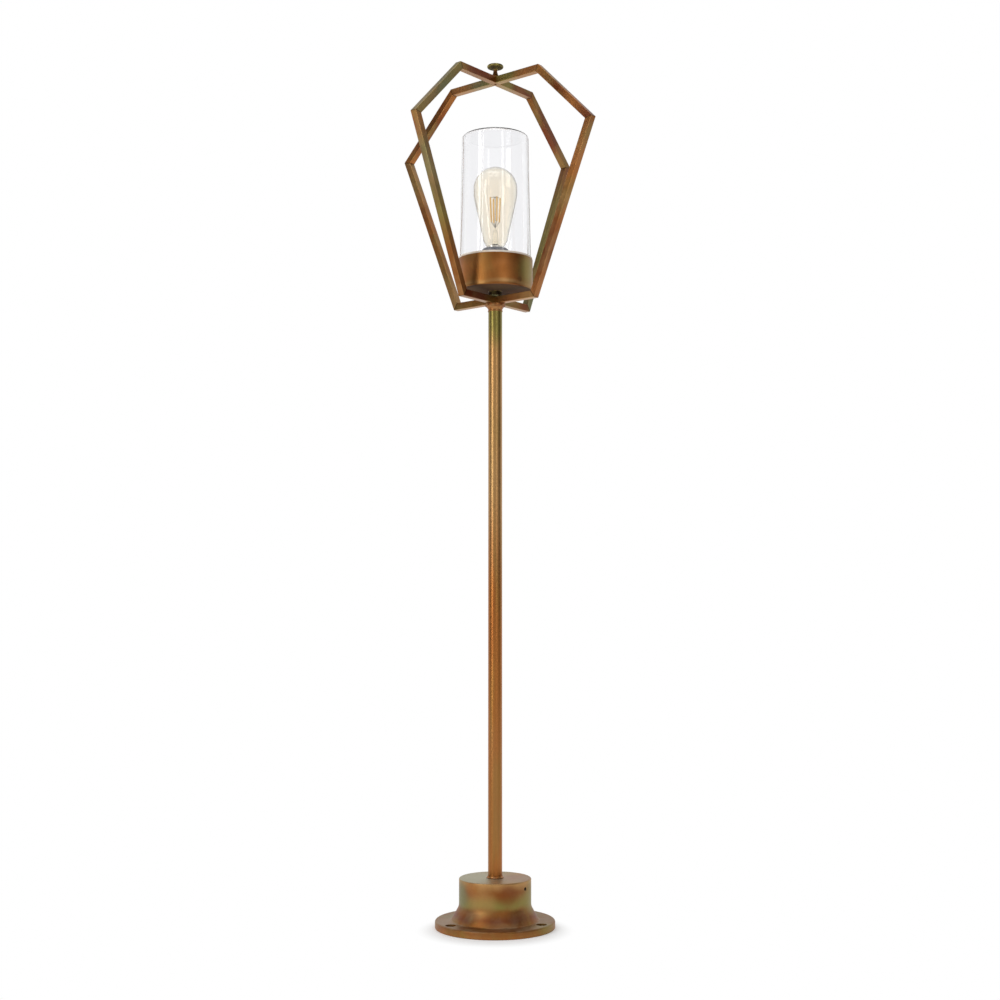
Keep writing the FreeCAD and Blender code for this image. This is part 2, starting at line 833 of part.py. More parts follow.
def glass_seat_ring():
    outer = cup_radius - cup_wall - seat_ring_inset
    return tube(outer, outer - seat_ring_width, cup_inside, cup_inside + seat_ring_height)


def glass_jar():
    straight_top = glass_foot + glass_straight
    inner_foot = glass_radius - glass_wall
    inner_top = glass_top_radius - glass_wall
    ceiling = glass_top - glass_wall
    return turned([
        (inner_foot, glass_foot, glass_mouth_round), (glass_radius, glass_foot, glass_mouth_round),
        (glass_radius, straight_top), (glass_top_radius, glass_top, glass_shoulder_round),
        (0, glass_top), (0, ceiling),
        (inner_top, ceiling, glass_shoulder_round - glass_wall), (inner_foot, straight_top)])


def cup_nut():
    return hex_nut(cup_nut_flats, nipple_radius + fit_gap, washer_top, washer_top + cup_nut_thickness)


def earth_washer():
    low = washer_top - washer_thickness
    half = washer_tongue / 2
    tag = core_spacing + 2 * core_bend + washer_reach
    ring = rod(cup_nut_flats * washer_share, low, washer_top)
    tongue = box((-tag - half, -half, low), (0, half, washer_top))
    return ring.fuse(tongue).removeSplitter().cut(rod(nipple_radius + fit_gap, low, washer_top))


# --- lampholder ---

def holder_screw_places():
    return [Vector(side * holder_screw_place, 0, holder_foot) for side in (-1, 1)]


def holder_bracket():
    half = holder_bracket_width / 2
    reach = holder_bracket_reach
    bracket = box((-reach, -half, cup_inside), (reach, half, cup_inside + bracket_thickness))
    for side in (-1, 1):
        edge = side * reach
        face = side * (reach - bracket_thickness)
        tab = side * (reach - holder_bracket_foot)
        upright = box((min(edge, face), -half, cup_inside), (max(edge, face), half, holder_foot))
        top = box((min(edge, tab), -half, holder_foot - bracket_thickness),
                  (max(edge, tab), half, holder_foot))
        bracket = bracket.fuse([upright, top])
    bracket = bracket.removeSplitter()
    for place in holder_screw_places():
        bracket = bracket.cut(Part.makeCylinder(holder_screw_radius + fit_gap, bracket_thickness,
                                                place - up * bracket_thickness, up))
    return bracket.cut(rod(nipple_radius + fit_gap, cup_inside, cup_inside + bracket_thickness))


def holder_screws():
    screw = headed_screw(holder_screw_radius, bracket_thickness + holder_screw_grip)
    return Part.makeCompound([
        stood(screw, place - up * bracket_thickness, up) for place in holder_screw_places()])


def holder_terminal_places():
    return [Vector(terminal_x, side * terminal_y, holder_foot) for side in (-1, 1)]


def lampholder_body():
    foot_top = holder_foot + holder_foot_height
    rim_foot = holder_top - holder_rim_height
    back_top = holder_foot + holder_back_depth
    bore = shell_radius + fit_gap
    body = turned([
        (holder_back_radius, holder_foot), (holder_foot_radius, holder_foot, holder_foot_round),
        (holder_foot_radius, foot_top, holder_foot_round),
        (holder_radius, foot_top + holder_foot_slope),
        (holder_radius, rim_foot - holder_rim_slope), (holder_rim_radius, rim_foot),
        (holder_rim_radius, holder_top, holder_rim_round), (bore, holder_top, holder_mouth_round),
        (bore, holder_inside), (0, holder_inside), (0, back_top), (holder_back_radius, back_top)])
    for place in holder_screw_places():
        body = body.cut(Part.makeCylinder(holder_screw_radius + fit_gap, holder_screw_grip + drill_room,
                                          place, up))
    for place in holder_terminal_places():
        body = body.cut(Part.makeCylinder(rivet_radius + fit_gap, holder_height, place, up))
    return body


def lampholder_shell():
    bore = shell_radius - shell_wall
    shell = turned([
        (shell_floor_bore, holder_inside), (shell_radius, holder_inside),
        (shell_radius, holder_inside + shell_height), (bore, holder_inside + shell_height),
        (bore, holder_inside + contact_strip), (shell_floor_bore, holder_inside + contact_strip)])
    place = holder_terminal_places()[1]
    reach = math.hypot(terminal_x, terminal_y)
    tab = box((reach - shell_tab, -shell_tab, holder_inside),
              (shell_floor_bore + shell_wall, shell_tab, holder_inside + contact_strip))
    tab = turned_about_axis(tab, math.degrees(math.atan2(terminal_y, terminal_x)))
    rivet = Part.makeCylinder(rivet_radius, holder_floor, place + up * holder_back_depth, up)
    return shell.fuse([tab, rivet]).removeSplitter()


def lampholder_contact():
    place = holder_terminal_places()[0]
    reach = math.hypot(terminal_x, terminal_y)
    strip = box((0, -contact_post, holder_inside),
                (reach + contact_post, contact_post, holder_inside + contact_strip))
    strip = turned_about_axis(strip, math.degrees(math.atan2(-terminal_y, terminal_x)))
    post = rod(contact_post, holder_inside, holder_inside + contact_height - contact_strip)
    disc = rod(contact_radius, holder_inside + contact_height - contact_strip,
               holder_inside + contact_height)
    rivet = Part.makeCylinder(rivet_radius, holder_floor, place + up * holder_back_depth, up)
    return strip.fuse([post, disc, rivet]).removeSplitter()


def lampholder_terminals():
    terminals = []
    for place in holder_terminal_places():
        post = Part.makeCylinder(terminal_radius, terminal_height,
                                 place + up * (holder_back_depth - terminal_height), up)
        hole = Part.makeCylinder(core_radius + fit_gap, core_end_grip + drill_room, place, up)
        terminals.append(post.cut(hole))
    return Part.makeCompound(terminals)


# --- bulb ---

def bulb_side(inset):
    """Corners of the bulb's side from the dome's edge to the neck's end, moved inward by inset."""
    neck = bulb_foot + bulb_neck_height
    neck_end = cap_radius - cap_wall - fit_gap - inset
    return [
        (bulb_radius - inset, bulb_top - bulb_radius),
        (bulb_radius - inset, bulb_top - bulb_radius - bulb_shoulder_drop, bulb_shoulder_round - inset),
        (bulb_neck_radius - inset, neck, bulb_neck_round + inset),
        (neck_end, cap_top + neck_above_cap),
        (neck_end, cap_top - neck_in_cap)]


def bulb_glass():
    centre = bulb_top - bulb_radius
    inner_radius = bulb_radius - bulb_glass_wall
    outer_via = bulb_radius * math.sqrt(0.5)
    inner_via = inner_radius * math.sqrt(0.5)
    outer = bulb_side(0)
    inner = bulb_side(bulb_glass_wall)
    return turned(
        [(0, bulb_top), ("arc", outer_via, centre + outer_via, *outer[0])] + outer[1:]
        + inner[::-1] + [("arc", inner_via, centre + inner_via, 0, bulb_top - bulb_glass_wall)])


def bulb_stem():
    neck = cap_radius - cap_wall - fit_gap - bulb_glass_wall - fit_gap
    foot = cap_top - neck_in_cap
    top = bulb_foot + stem_height
    return turned([
        (0, foot + stem_hollow), (stem_radius - stem_wall, foot + stem_hollow, stem_wall / 2),
        (neck - stem_skirt_edge, foot), (neck, foot + stem_skirt_edge / 2, stem_skirt_edge / 4),
        (stem_radius, foot + stem_skirt_height, stem_skirt_round),
        (stem_pinch_radius, top - stem_pinch_drop, stem_pinch_round),
        (stem_tip_radius, top - stem_tip_height, stem_tip_height / 2), (stem_tip_radius, top), (0, top)])


def filament_ends():
    ends = []
    low = bulb_foot + filament_base_height
    for number in range(filament_count):
        angle = filament_angle + 360.0 * number / filament_count
        foot = around(filament_foot, angle, low)
        top = around(filament_top, angle, low)
        rise = math.sqrt(filament_length ** 2 - (filament_top - filament_foot) ** 2)
        ends.append((foot, top + up * rise))
    return ends


def round_bar(start, end, radius):
    return Part.makeCylinder(radius, start.distanceToPoint(end), start, end - start)


def bulb_filaments():
    return Part.makeCompound([round_bar(foot, top, filament_radius) for foot, top in filament_ends()])


def bulb_supports():
    """The centre wire on the stem and the wires from it to both ends of each filament."""
    stem_top = bulb_foot + stem_height
    ends = filament_ends()
    crown = ends[0][1].z + support_crown
    wires = round_bar(Vector(0, 0, stem_top), Vector(0, 0, crown), support_radius)
    branches = []
    for foot, top in ends:
        branches.append(round_bar(Vector(0, 0, crown - support_radius), top, support_radius))
        branches.append(round_bar(Vector(0, 0, stem_top + support_branch), foot, support_radius))
    wires = wires.fuse(branches)
    ends_in_filaments = [round_bar(foot, top, filament_radius + 0.01) for foot, top in ends]
    return wires.cut(ends_in_filaments).removeSplitter()


def bulb_cap():
    outer = cap_radius
    inner = outer - cap_wall
    drawn_in = outer - cap_draw_in
    return turned([
        (drawn_in, cap_foot), (outer, cap_foot + cap_shoulder), (outer, cap_top), (inner, cap_top),
        (inner, cap_foot + cap_shoulder + cap_wall / 2), (drawn_in - cap_wall, cap_foot + cap_wall)])


def bulb_insulator():
    low = bulb_foot + bulb_contact_height
    high = low + insulator_height
    waist = bulb_contact_radius + insulator_waist
    return turned([
        (0, low), (waist, low, insulator_round / 2),
        (insulator_radius, high - insulator_edge, insulator_round), (insulator_radius, high), (0, high)])


def bulb_contact():
    top = bulb_foot + bulb_contact_height
    edge = top - bulb_contact_edge
    return turned([
        (0, bulb_foot), (bulb_contact_tip, bulb_foot, bulb_contact_edge / 2),
        (bulb_contact_radius, edge, bulb_contact_edge / 2), (bulb_contact_radius, top), (0, top)])


# --- finial ---

def finial_knob():
    low = finial_foot
    edge = low + finial_underside
    rim_top = edge + finial_disc_edge
    neck = low + finial_neck_height
    foot_top = low + finial_foot_step
    foot_via = cove((finial_foot_radius, foot_top), (finial_neck_radius, neck))
    dome_via = crown(finial_dome_radius, rim_top, finial_dome)
    bore = stud_radius + fit_gap
    bore_top = low + stud_rise + seat_gap
    return turned([
        (bore, low), (finial_foot_radius, low), (finial_foot_radius, foot_top),
        ("arc", *foot_via, finial_neck_radius, neck),
        (finial_neck_radius, low + finial_neck_top, finial_head_round),
        (finial_disc_radius, edge, finial_edge_round), (finial_disc_radius, rim_top, finial_edge_round),
        (finial_dome_radius, rim_top), ("arc", *dome_via, 0, rim_top + finial_dome),
        (0, bore_top), (bore, bore_top)])


def finial_stud():
    low = cage_roof - stud_grip
    high = finial_foot + stud_rise
    tip = 0.35 * stud_radius
    return turned([
        (0, low), (stud_radius - tip, low), (stud_radius, low + tip), (stud_radius, high - tip),
        (stud_radius - tip, high), (0, high)])


parts = {
    "base_bell": base_bell(),
    "base_set_screw": base_set_screw(),
    "pole_hub": pole_hub(),
    "hub_screws": hub_screws(),
    "pole": pole(),
    "pole_lock_nut": pole_lock_nut(),
    "pole_end_bush": pole_end_bush(),
    "pole_foot_ring": pole_foot_ring(),
    "terminal_bracket": terminal_bracket(),
    "bracket_screws": bracket_screws(),
    "terminal_block": terminal_block(),
    "terminal_sleeves": terminal_sleeves(),
    "terminal_screws": terminal_screws(),
    "block_screw": block_screw(),
    "earth_lug": earth_lug(),
    "earth_screw": earth_screw(),
    "internal_lead": internal_lead(),
    "base_cores": base_cores(),
    "holder_cores": holder_cores(),
    "top_collar": top_collar(),
    "threaded_nipple": threaded_nipple(),
    "cup_spacer": cup_spacer(),
    "cup": cup(),
    "cup_gasket": cup_gasket(),
    "glass_seat_ring": glass_seat_ring(),
    "glass_jar": glass_jar(),
    "cup_nut": cup_nut(),
    "earth_washer": earth_washer(),
    "holder_bracket": holder_bracket(),
    "holder_screws": holder_screws(),
    "lampholder_body": lampholder_body(),
    "lampholder_shell": lampholder_shell(),
    "lampholder_contact": lampholder_contact(),
    "lampholder_terminals": lampholder_terminals(),
    "bulb_glass": bulb_glass(),
    "bulb_stem": bulb_stem(),
    "bulb_filaments": bulb_filaments(),
    "bulb_supports": bulb_supports(),
    "bulb_cap": bulb_cap(),
    "bulb_insulator": bulb_insulator(),
    "bulb_contact": bulb_contact(),
    "finial_knob": finial_knob(),
    "finial_stud": finial_stud(),
}
parts.update(cage_parts())

os.makedirs("parts", exist_ok=True)
for name, shape in parts.items():
    shape.exportStep("parts/" + name + ".step")

print("jar lift %.1f mm" % glass_lift)
print("bulb rise %.2f mm in %.1f turns" % (cap_pitch * bulb_turns, bulb_turns))
print("finial rise %.2f mm in %.1f turns" % (finial_pitch * finial_turns, finial_turns))
print("%d parts, top at %.1f mm" % (len(parts), parts["finial_knob"].BoundBox.ZMax))
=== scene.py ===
import json
import math

import bpy
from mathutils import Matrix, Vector


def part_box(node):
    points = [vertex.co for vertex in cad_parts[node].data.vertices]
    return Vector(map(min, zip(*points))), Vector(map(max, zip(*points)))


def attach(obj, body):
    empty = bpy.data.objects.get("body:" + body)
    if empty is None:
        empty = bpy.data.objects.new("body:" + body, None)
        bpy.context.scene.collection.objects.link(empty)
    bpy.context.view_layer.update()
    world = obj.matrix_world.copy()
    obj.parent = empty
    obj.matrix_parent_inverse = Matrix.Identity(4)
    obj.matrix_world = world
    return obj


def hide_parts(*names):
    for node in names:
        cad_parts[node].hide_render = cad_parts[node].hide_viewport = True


# Lantern floor lamp: aged brass stand and cage, clear glass jar, amber filament bulb.
# Everything is in metres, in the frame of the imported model.
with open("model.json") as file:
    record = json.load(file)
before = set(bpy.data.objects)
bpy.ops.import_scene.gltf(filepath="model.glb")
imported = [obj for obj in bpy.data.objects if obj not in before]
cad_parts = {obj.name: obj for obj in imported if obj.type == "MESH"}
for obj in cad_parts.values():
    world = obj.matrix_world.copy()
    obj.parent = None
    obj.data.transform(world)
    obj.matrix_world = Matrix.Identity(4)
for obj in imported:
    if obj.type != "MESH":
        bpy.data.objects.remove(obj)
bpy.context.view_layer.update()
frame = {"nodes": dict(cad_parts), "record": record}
nodes = frame["nodes"]
bodyOf = {node: body for body, members in frame["record"]["behaviour"]["bodies"].items() for node in members}
print("frame loaded:", len(nodes), "nodes")

millimetre = 0.001


# an sRGB hex colour as linear red, green, blue and alpha
def colour(hexValue):
    channels = [int(hexValue[i:i + 2], 16) / 255 for i in (1, 3, 5)]
    return (*[c / 12.92 if c <= 0.04045 else ((c + 0.055) / 1.055) ** 2.4 for c in channels], 1.0)


# adds a node, sets its properties, and sets or links its sockets
def addNode(tree, kind, properties={}, sockets={}):
    node = tree.nodes.new(kind)
    for name, value in properties.items():
        setattr(node, name, value)
    for socket, value in sockets.items():
        if isinstance(value, bpy.types.NodeSocket):
            tree.links.new(value, node.inputs[socket])
        else:
            node.inputs[socket].default_value = value
    return node


# an empty material with its output, and the Object coordinates that its patterns read
def newMaterial(name):
    material = bpy.data.materials.new(name)
    material.use_nodes = True
    tree = material.node_tree
    tree.nodes.clear()
    output = addNode(tree, "ShaderNodeOutputMaterial")
    place = addNode(tree, "ShaderNodeTexCoord").outputs["Object"]
    return material, tree, output, place


# gives pieces a material in place of the one they have
def paint(material, *pieces):
    for piece in pieces:
        slots = piece.data.materials
        slots.clear()
        slots.append(material)


# --- camera ---

view = {
    "place": (1.3488, -1.6318, 0.4470),     # 2.1 m from the pole, below the middle of the lamp
    "heading": 39.39,                       # degrees from +Y, turned to the left
    "tiltUp": 4.158,                        # degrees
    "lens": 53.34,                          # mm, on a 36 mm sensor
}
camera = bpy.data.objects.new("camera", bpy.data.cameras.new("camera"))
camera.data.lens = view["lens"]
camera.data.sensor_width = 36.0
camera.location = view["place"]
camera.rotation_euler = (math.radians(90 + view["tiltUp"]), 0, math.radians(view["heading"]))
bpy.context.scene.collection.objects.link(camera)
bpy.context.scene.camera = camera
bpy.context.scene.view_settings.view_transform = "Standard"
heading = math.radians(view["heading"])
away = Vector((-math.sin(heading), math.cos(heading), 0))      # level direction in which the camera looks
rightward = Vector((math.cos(heading), math.sin(heading), 0))
print("camera placed")


# a point round the pole: turn in degrees to the right of the side that the camera sees, radius and height in mm
def roundPole(turn, radius, height):
    angle = math.radians(turn)
    flat = (rightward * math.sin(angle) - away * math.cos(angle)) * radius * millimetre
    return Vector((flat.x, flat.y, height * millimetre))


# --- light ---

studio = {
    "background": 1.0,          # what the camera and the glass see
    "backdropGloss": 0.95,      # backdrop behind the lamp, as the metal shows it
    "frontGloss": 0.55,         # pale wall behind the camera, as the metal shows it
    "gapGloss": 0.08,           # dark gaps at the sides, between the two
    "ceilingGloss": 0.30,
    "fill": 0.5,                # level light on matt surfaces
}
softboxes = {
    # turn: degrees to the right of the camera's side; out: metres from the pole; size: width, height
    "keyLeft": {"turn": -50, "out": 1.7, "height": 1.15, "size": (0.5, 1.9), "watts": 11, "aim": 0.75},
    "stripRight": {"turn": 25, "out": 2.0, "height": 1.2, "size": (0.22, 1.7), "watts": 3, "aim": 0.8},
    "top": {"turn": -10, "out": 0.5, "height": 2.6, "size": (1.2, 1.2), "watts": 8, "aim": 0.6},
}

world = bpy.data.worlds.new("studio")
bpy.context.scene.world = world
world.use_nodes = True
worldTree = world.node_tree
worldTree.nodes.clear()
direction = addNode(worldTree, "ShaderNodeTexCoord").outputs["Generated"]
level = addNode(worldTree, "ShaderNodeVectorMath", {"operation": "MULTIPLY"}, {0: direction, 1: (1, 1, 0)})
level = addNode(worldTree, "ShaderNodeVectorMath", {"operation": "NORMALIZE"}, {0: level.outputs[0]})
towardsCamera = addNode(worldTree, "ShaderNodeVectorMath", {"operation": "DOT_PRODUCT"}, {
    0: level.outputs[0], 1: tuple(-away)}).outputs["Value"]
front = addNode(worldTree, "ShaderNodeMapRange", {"interpolation_type": "SMOOTHSTEP"}, {
    "Value": towardsCamera, "From Min": 0.42, "From Max": 0.74,
    "To Min": studio["gapGloss"], "To Max": studio["frontGloss"]})
sides = addNode(worldTree, "ShaderNodeMapRange", {"interpolation_type": "SMOOTHSTEP"}, {
    "Value": towardsCamera, "From Min": 0.08, "From Max": -0.32,
    "To Min": 0.0, "To Max": studio["backdropGloss"]})
surround = addNode(worldTree, "ShaderNodeMath", {"operation": "MAXIMUM"}, {0: front.outputs[0], 1: sides.outputs[0]})
height = addNode(worldTree, "ShaderNodeSeparateXYZ", {}, {0: direction})
ceiling = addNode(worldTree, "ShaderNodeMapRange", {"interpolation_type": "SMOOTHSTEP"}, {
    "Value": height.outputs["Z"], "From Min": 0.45, "From Max": 0.85})
gloss = addNode(worldTree, "ShaderNodeMix", {}, {
    0: ceiling.outputs[0], 2: surround.outputs[0], 3: studio["ceilingGloss"]})
rays = addNode(worldTree, "ShaderNodeLightPath")
afterGloss = addNode(worldTree, "ShaderNodeMix", {}, {
    0: rays.outputs["Is Glossy Ray"], 2: studio["fill"], 3: gloss.outputs[0]})
seenThrough = addNode(worldTree, "ShaderNodeMath", {"operation": "MAXIMUM"}, {
    0: rays.outputs["Is Camera Ray"], 1: rays.outputs["Is Transmission Ray"]})
strength = addNode(worldTree, "ShaderNodeMix", {}, {
    0: seenThrough.outputs[0], 2: afterGloss.outputs[0], 3: studio["background"]})
sky = addNode(worldTree, "ShaderNodeBackground", {}, {
    "Color": (1, 1, 1, 1), "Strength": strength.outputs[0]})
addNode(worldTree, "ShaderNodeOutputWorld", {}, {"Surface": sky.outputs[0]})

for name, softbox in softboxes.items():
    lamp = bpy.data.lights.new(name, "AREA")
    lamp.shape = "RECTANGLE"
    lamp.size, lamp.size_y = softbox["size"]
    lamp.energy = softbox["watts"]
    holder = bpy.data.objects.new(name, lamp)
    bpy.context.scene.collection.objects.link(holder)
    spot = roundPole(softbox["turn"], softbox["out"] / millimetre, softbox["height"] / millimetre)
    holder.location = spot
    holder.rotation_euler = (Vector((0, 0, softbox["aim"])) - spot).to_track_quat("-Z", "Y").to_euler()
    holder.visible_camera = False
print("studio lit")


# --- floor ---

floorLook = {
    "size": 8.0,                    # metres
    "colour": "#f2f2f2",
    "lift": 0.14,                   # evens the floor out to white for the eye, without lighting the object
    "shadowShift": 0.02,            # metres towards the camera, from the pole to the shadow's middle
    "shadowReach": (0.075, 0.112),  # metres from its middle where the shadow fades into plain white
}
bpy.ops.object.select_all(action="DESELECT")
bpy.ops.mesh.primitive_plane_add(size=floorLook["size"], location=(0, 0, 0))
floor = bpy.context.object
floor.name = "floor"
paper, tree, output, place = newMaterial("whitePaperSweep")
paperSurface = addNode(tree, "ShaderNodeBsdfDiffuse", {}, {"Color": colour(floorLook["colour"])})
lift = addNode(tree, "ShaderNodeEmission", {}, {"Strength": floorLook["lift"]})
lifted = addNode(tree, "ShaderNodeAddShader", {}, {0: paperSurface.outputs[0], 1: lift.outputs[0]})
plain = addNode(tree, "ShaderNodeEmission", {}, {"Strength": 1.0})
fromMiddle = addNode(tree, "ShaderNodeVectorMath", {"operation": "ADD"}, {
    0: place, 1: tuple(away * floorLook["shadowShift"])})
reach = addNode(tree, "ShaderNodeVectorMath", {"operation": "LENGTH"}, {0: fromMiddle.outputs[0]})
fade = addNode(tree, "ShaderNodeMapRange", {"interpolation_type": "SMOOTHSTEP"}, {
    "Value": reach.outputs["Value"],
    "From Min": floorLook["shadowReach"][0], "From Max": floorLook["shadowReach"][1]})
seen = addNode(tree, "ShaderNodeMixShader", {}, {0: fade.outputs[0], 1: lifted.outputs[0], 2: plain.outputs[0]})
rays = addNode(tree, "ShaderNodeLightPath")
direct = addNode(tree, "ShaderNodeMath", {"operation": "MAXIMUM"}, {
    0: rays.outputs["Is Camera Ray"], 1: rays.outputs["Is Glossy Ray"]})
direct = addNode(tree, "ShaderNodeMath", {"operation": "MAXIMUM"}, {
    0: direct.outputs[0], 1: rays.outputs["Is Transmission Ray"]})
floorMix = addNode(tree, "ShaderNodeMixShader", {}, {
    0: direct.outputs[0], 1: paperSurface.outputs[0], 2: seen.outputs[0]})
tree.links.new(floorMix.outputs[0], output.inputs["Surface"])
paint(paper, floor)
print("floor laid")


# --- aged brass ---

# Cast, turned and drawn brass, brushed, stained brown with a liquid patina and rubbed back by hand. The eye gets a
# satin brown metal whose tone drifts along each piece: tan where it is rubbed, red where the stain lies thick,
# olive and grey-green where it has gone over.
brassTones = {
    "tan": "#b98d58",
    "orange": "#a96a33",
    "brown": "#8c5627",
    "red": "#783a1b",
    "olive": "#8c7f42",
    "green": "#7c7c58",
    "rose": "#a57c62",
    "bloom": "#b5b197",
    "rubbed": "#caa060",
    # this dark tone is real grime in joints, and also painted shade on undersides and the spacer, and a painted
    # reflection on the cup
    "grime": "#2e1c0d",
}


# look: axes (along the piece first), span in mm along the first axis, tones along that span, spots of stain and of
# painted highlight, painted shade and painted reflection
def agedBrass(name, look):
    material, tree, output, place = newMaterial(name)
    measures = [addNode(tree, "ShaderNodeVectorMath", {"operation": "DOT_PRODUCT"}, {0: place, 1: tuple(axis)})
                for axis in look["axes"]]
    local = addNode(tree, "ShaderNodeCombineXYZ", {}, {i: m.outputs["Value"] for i, m in enumerate(measures)})
    facing = addNode(tree, "ShaderNodeSeparateXYZ", {}, {0: addNode(tree, "ShaderNodeTexCoord").outputs["Normal"]})

    def mapped(value, fromMin, fromMax, toMin=0.0, toMax=1.0, ride="LINEAR"):
        return addNode(tree, "ShaderNodeMapRange", {"interpolation_type": ride}, {
            "Value": value, "From Min": fromMin, "From Max": fromMax, "To Min": toMin, "To Max": toMax}).outputs[0]

    def calculated(operation, *values):
        return addNode(tree, "ShaderNodeMath", {"operation": operation}, dict(enumerate(values))).outputs[0]

    def blendIn(base, tone, amount):
        return addNode(tree, "ShaderNodeMix", {"data_type": "RGBA"}, {
            0: amount, 6: base, 7: colour(brassTones[tone])}).outputs[2]

    # noise of a size in mm, drawn out along the piece
    def cloud(size, stretch, seed):
        spread = addNode(tree, "ShaderNodeMapping", {}, {
            "Vector": local.outputs[0], "Scale": (1 / stretch, 1, 1),
            "Location": (look["seed"] * 0.37 + seed, seed * 1.7, look["seed"] * 0.11)})
        return addNode(tree, "ShaderNodeTexNoise", {}, {
            "Vector": spread.outputs[0], "Scale": 1 / (size * millimetre), "Detail": 3.0,
            "Roughness": 0.5, "Distortion": 0.4}).outputs[0]

    # smooth patches; share is how much of the piece they cover
    def patches(size, stretch, share, seed, softness=0.12):
        middle = 0.5 + (0.5 - share) * 0.36
        return mapped(cloud(size, stretch, seed), middle - softness, middle + softness, ride="SMOOTHSTEP")

    # the tones along the piece, with soft uneven borders
    low, high = look["span"]
    drift = calculated("MULTIPLY_ADD", cloud(look["patch"], look["stretch"], 2.6), look["wobble"] * millimetre,
                       -look["wobble"] * millimetre / 2)
    run = calculated("ADD", measures[0].outputs["Value"], drift)
    ramp = addNode(tree, "ShaderNodeValToRGB", {}, {0: mapped(run, low * millimetre, high * millimetre)})
    ramp.color_ramp.interpolation = "EASE"
    for share, tone in look["along"][1:-1]:
        ramp.color_ramp.elements.new(share)
    for element, (share, tone) in zip(ramp.color_ramp.elements, look["along"]):
        element.color = colour(brassTones[tone])
    stain = ramp.outputs[0]
    for tone, share, amount, seed in look["patches"]:
        stain = blendIn(stain, tone, calculated(
            "MULTIPLY", patches(look["patch"], look["stretch"], share, seed), amount))

    # spots of another tone: place, size in mm, tone, amount, and "up" where only the top face takes it; some are stain
    # and bloom, others painted highlight, painted shade and painted reflection
    upward = mapped(facing.outputs["Z"], 0.5, 0.9)
    for spot, size, tone, amount, *only in look.get("spots", []):
        offset = addNode(tree, "ShaderNodeVectorMath", {"operation": "SUBTRACT"}, {0: place, 1: tuple(spot)})
        reach = addNode(tree, "ShaderNodeVectorMath", {"operation": "LENGTH"}, {0: offset.outputs[0]})
        uneven = calculated("ADD", reach.outputs["Value"], drift)
        cover = mapped(uneven, size * millimetre, 0.3 * size * millimetre, 0, amount, "SMOOTHSTEP")
        if only:
            cover = calculated("MULTIPLY", cover, upward)
        stain = blendIn(stain, tone, cover)

    # painted underside: faces that look down take another tone, painted shade where it is dark, painted light where it
    # is pale; bloom settles on those that look up
    under, underAmount = look["under"]
    downward = mapped(facing.outputs["Z"], -0.75, -0.95)
    stain = blendIn(stain, under, calculated("MULTIPLY", downward, underAmount))
    bloom = calculated("MULTIPLY", patches(look["patch"] * 1.2, look["stretch"], 0.5, 7.7),
                       mapped(facing.outputs["Z"], 0.2, 1.0, look["bloom"], look["bloomOnTop"]))
    stain = blendIn(stain, "bloom", bloom)

    # brush marks: real ones are 0.05 mm apart, drawn 0.35 mm apart so that they show
    if look["marks"] == "turned":
        flat = addNode(tree, "ShaderNodeVectorMath", {"operation": "MULTIPLY"}, {0: place, 1: (1, 1, 0)})
        radius = addNode(tree, "ShaderNodeVectorMath", {"operation": "LENGTH"}, {0: flat.outputs[0]})
        ring = addNode(tree, "ShaderNodeCombineXYZ", {}, {0: radius.outputs["Value"]})
        strokes = addNode(tree, "ShaderNodeVectorMath", {"operation": "MULTIPLY_ADD"}, {
            0: place, 1: (0.03, 0.03, 1), 2: ring.outputs[0]})
    else:
        strokes = addNode(tree, "ShaderNodeVectorMath", {"operation": "MULTIPLY"}, {
            0: local.outputs[0], 1: (0.02, 1, 1)})
    brush = addNode(tree, "ShaderNodeTexNoise", {}, {
        "Vector": strokes.outputs[0], "Scale": 1 / (0.35 * millimetre), "Detail": 2.0, "Roughness": 0.6})
    fine = addNode(tree, "ShaderNodeTexNoise", {}, {
        "Vector": local.outputs[0], "Scale": 1 / (3 * millimetre), "Detail": 3.0})     # mottling, 3 mm across
    light = calculated("MULTIPLY", mapped(fine.outputs[0], 0.3, 0.7, 0.95, 1.04),
                       mapped(brush.outputs[0], 0.3, 0.7, 0.95, 1.05))
    lightColour = addNode(tree, "ShaderNodeCombineXYZ", {}, {0: light, 1: light, 2: light})
    stain = addNode(tree, "ShaderNodeMix", {"data_type": "RGBA", "blend_type": "MULTIPLY"}, {
        0: 1.0, 6: stain, 7: lightColour.outputs[0]}).outputs[2]

    # edges are rubbed back to brighter metal
    rounded = addNode(tree, "ShaderNodeBevel", {"samples": 4}, {"Radius": 0.9 * millimetre})
    own = addNode(tree, "ShaderNodeNewGeometry")
    bend = addNode(tree, "ShaderNodeVectorMath", {"operation": "DOT_PRODUCT"}, {
        0: rounded.outputs[0], 1: own.outputs["Normal"]})
    wear = calculated("MULTIPLY", mapped(bend.outputs["Value"], 0.995, 0.90), patches(9, 2, 0.55, 9.9))
    stain = blendIn(stain, "rubbed", calculated("MULTIPLY", wear, look["wear"]))

    # a thin dark line where a mitred end meets the next bar, and a painted contact shadow where the foot ring stands on
    # the base
    for point, normal in look.get("seamsAndContactShade", []):
        offset = addNode(tree, "ShaderNodeVectorMath", {"operation": "SUBTRACT"}, {0: place, 1: tuple(point)})
        depth = addNode(tree, "ShaderNodeVectorMath", {"operation": "DOT_PRODUCT"}, {
            0: offset.outputs[0], 1: tuple(normal)})
        line = mapped(calculated("ABSOLUTE", depth.outputs["Value"]), 0.2 * millimetre, 0.9 * millimetre,
                      0.75, 0.0, "SMOOTHSTEP")
        stain = blendIn(stain, "grime", line)

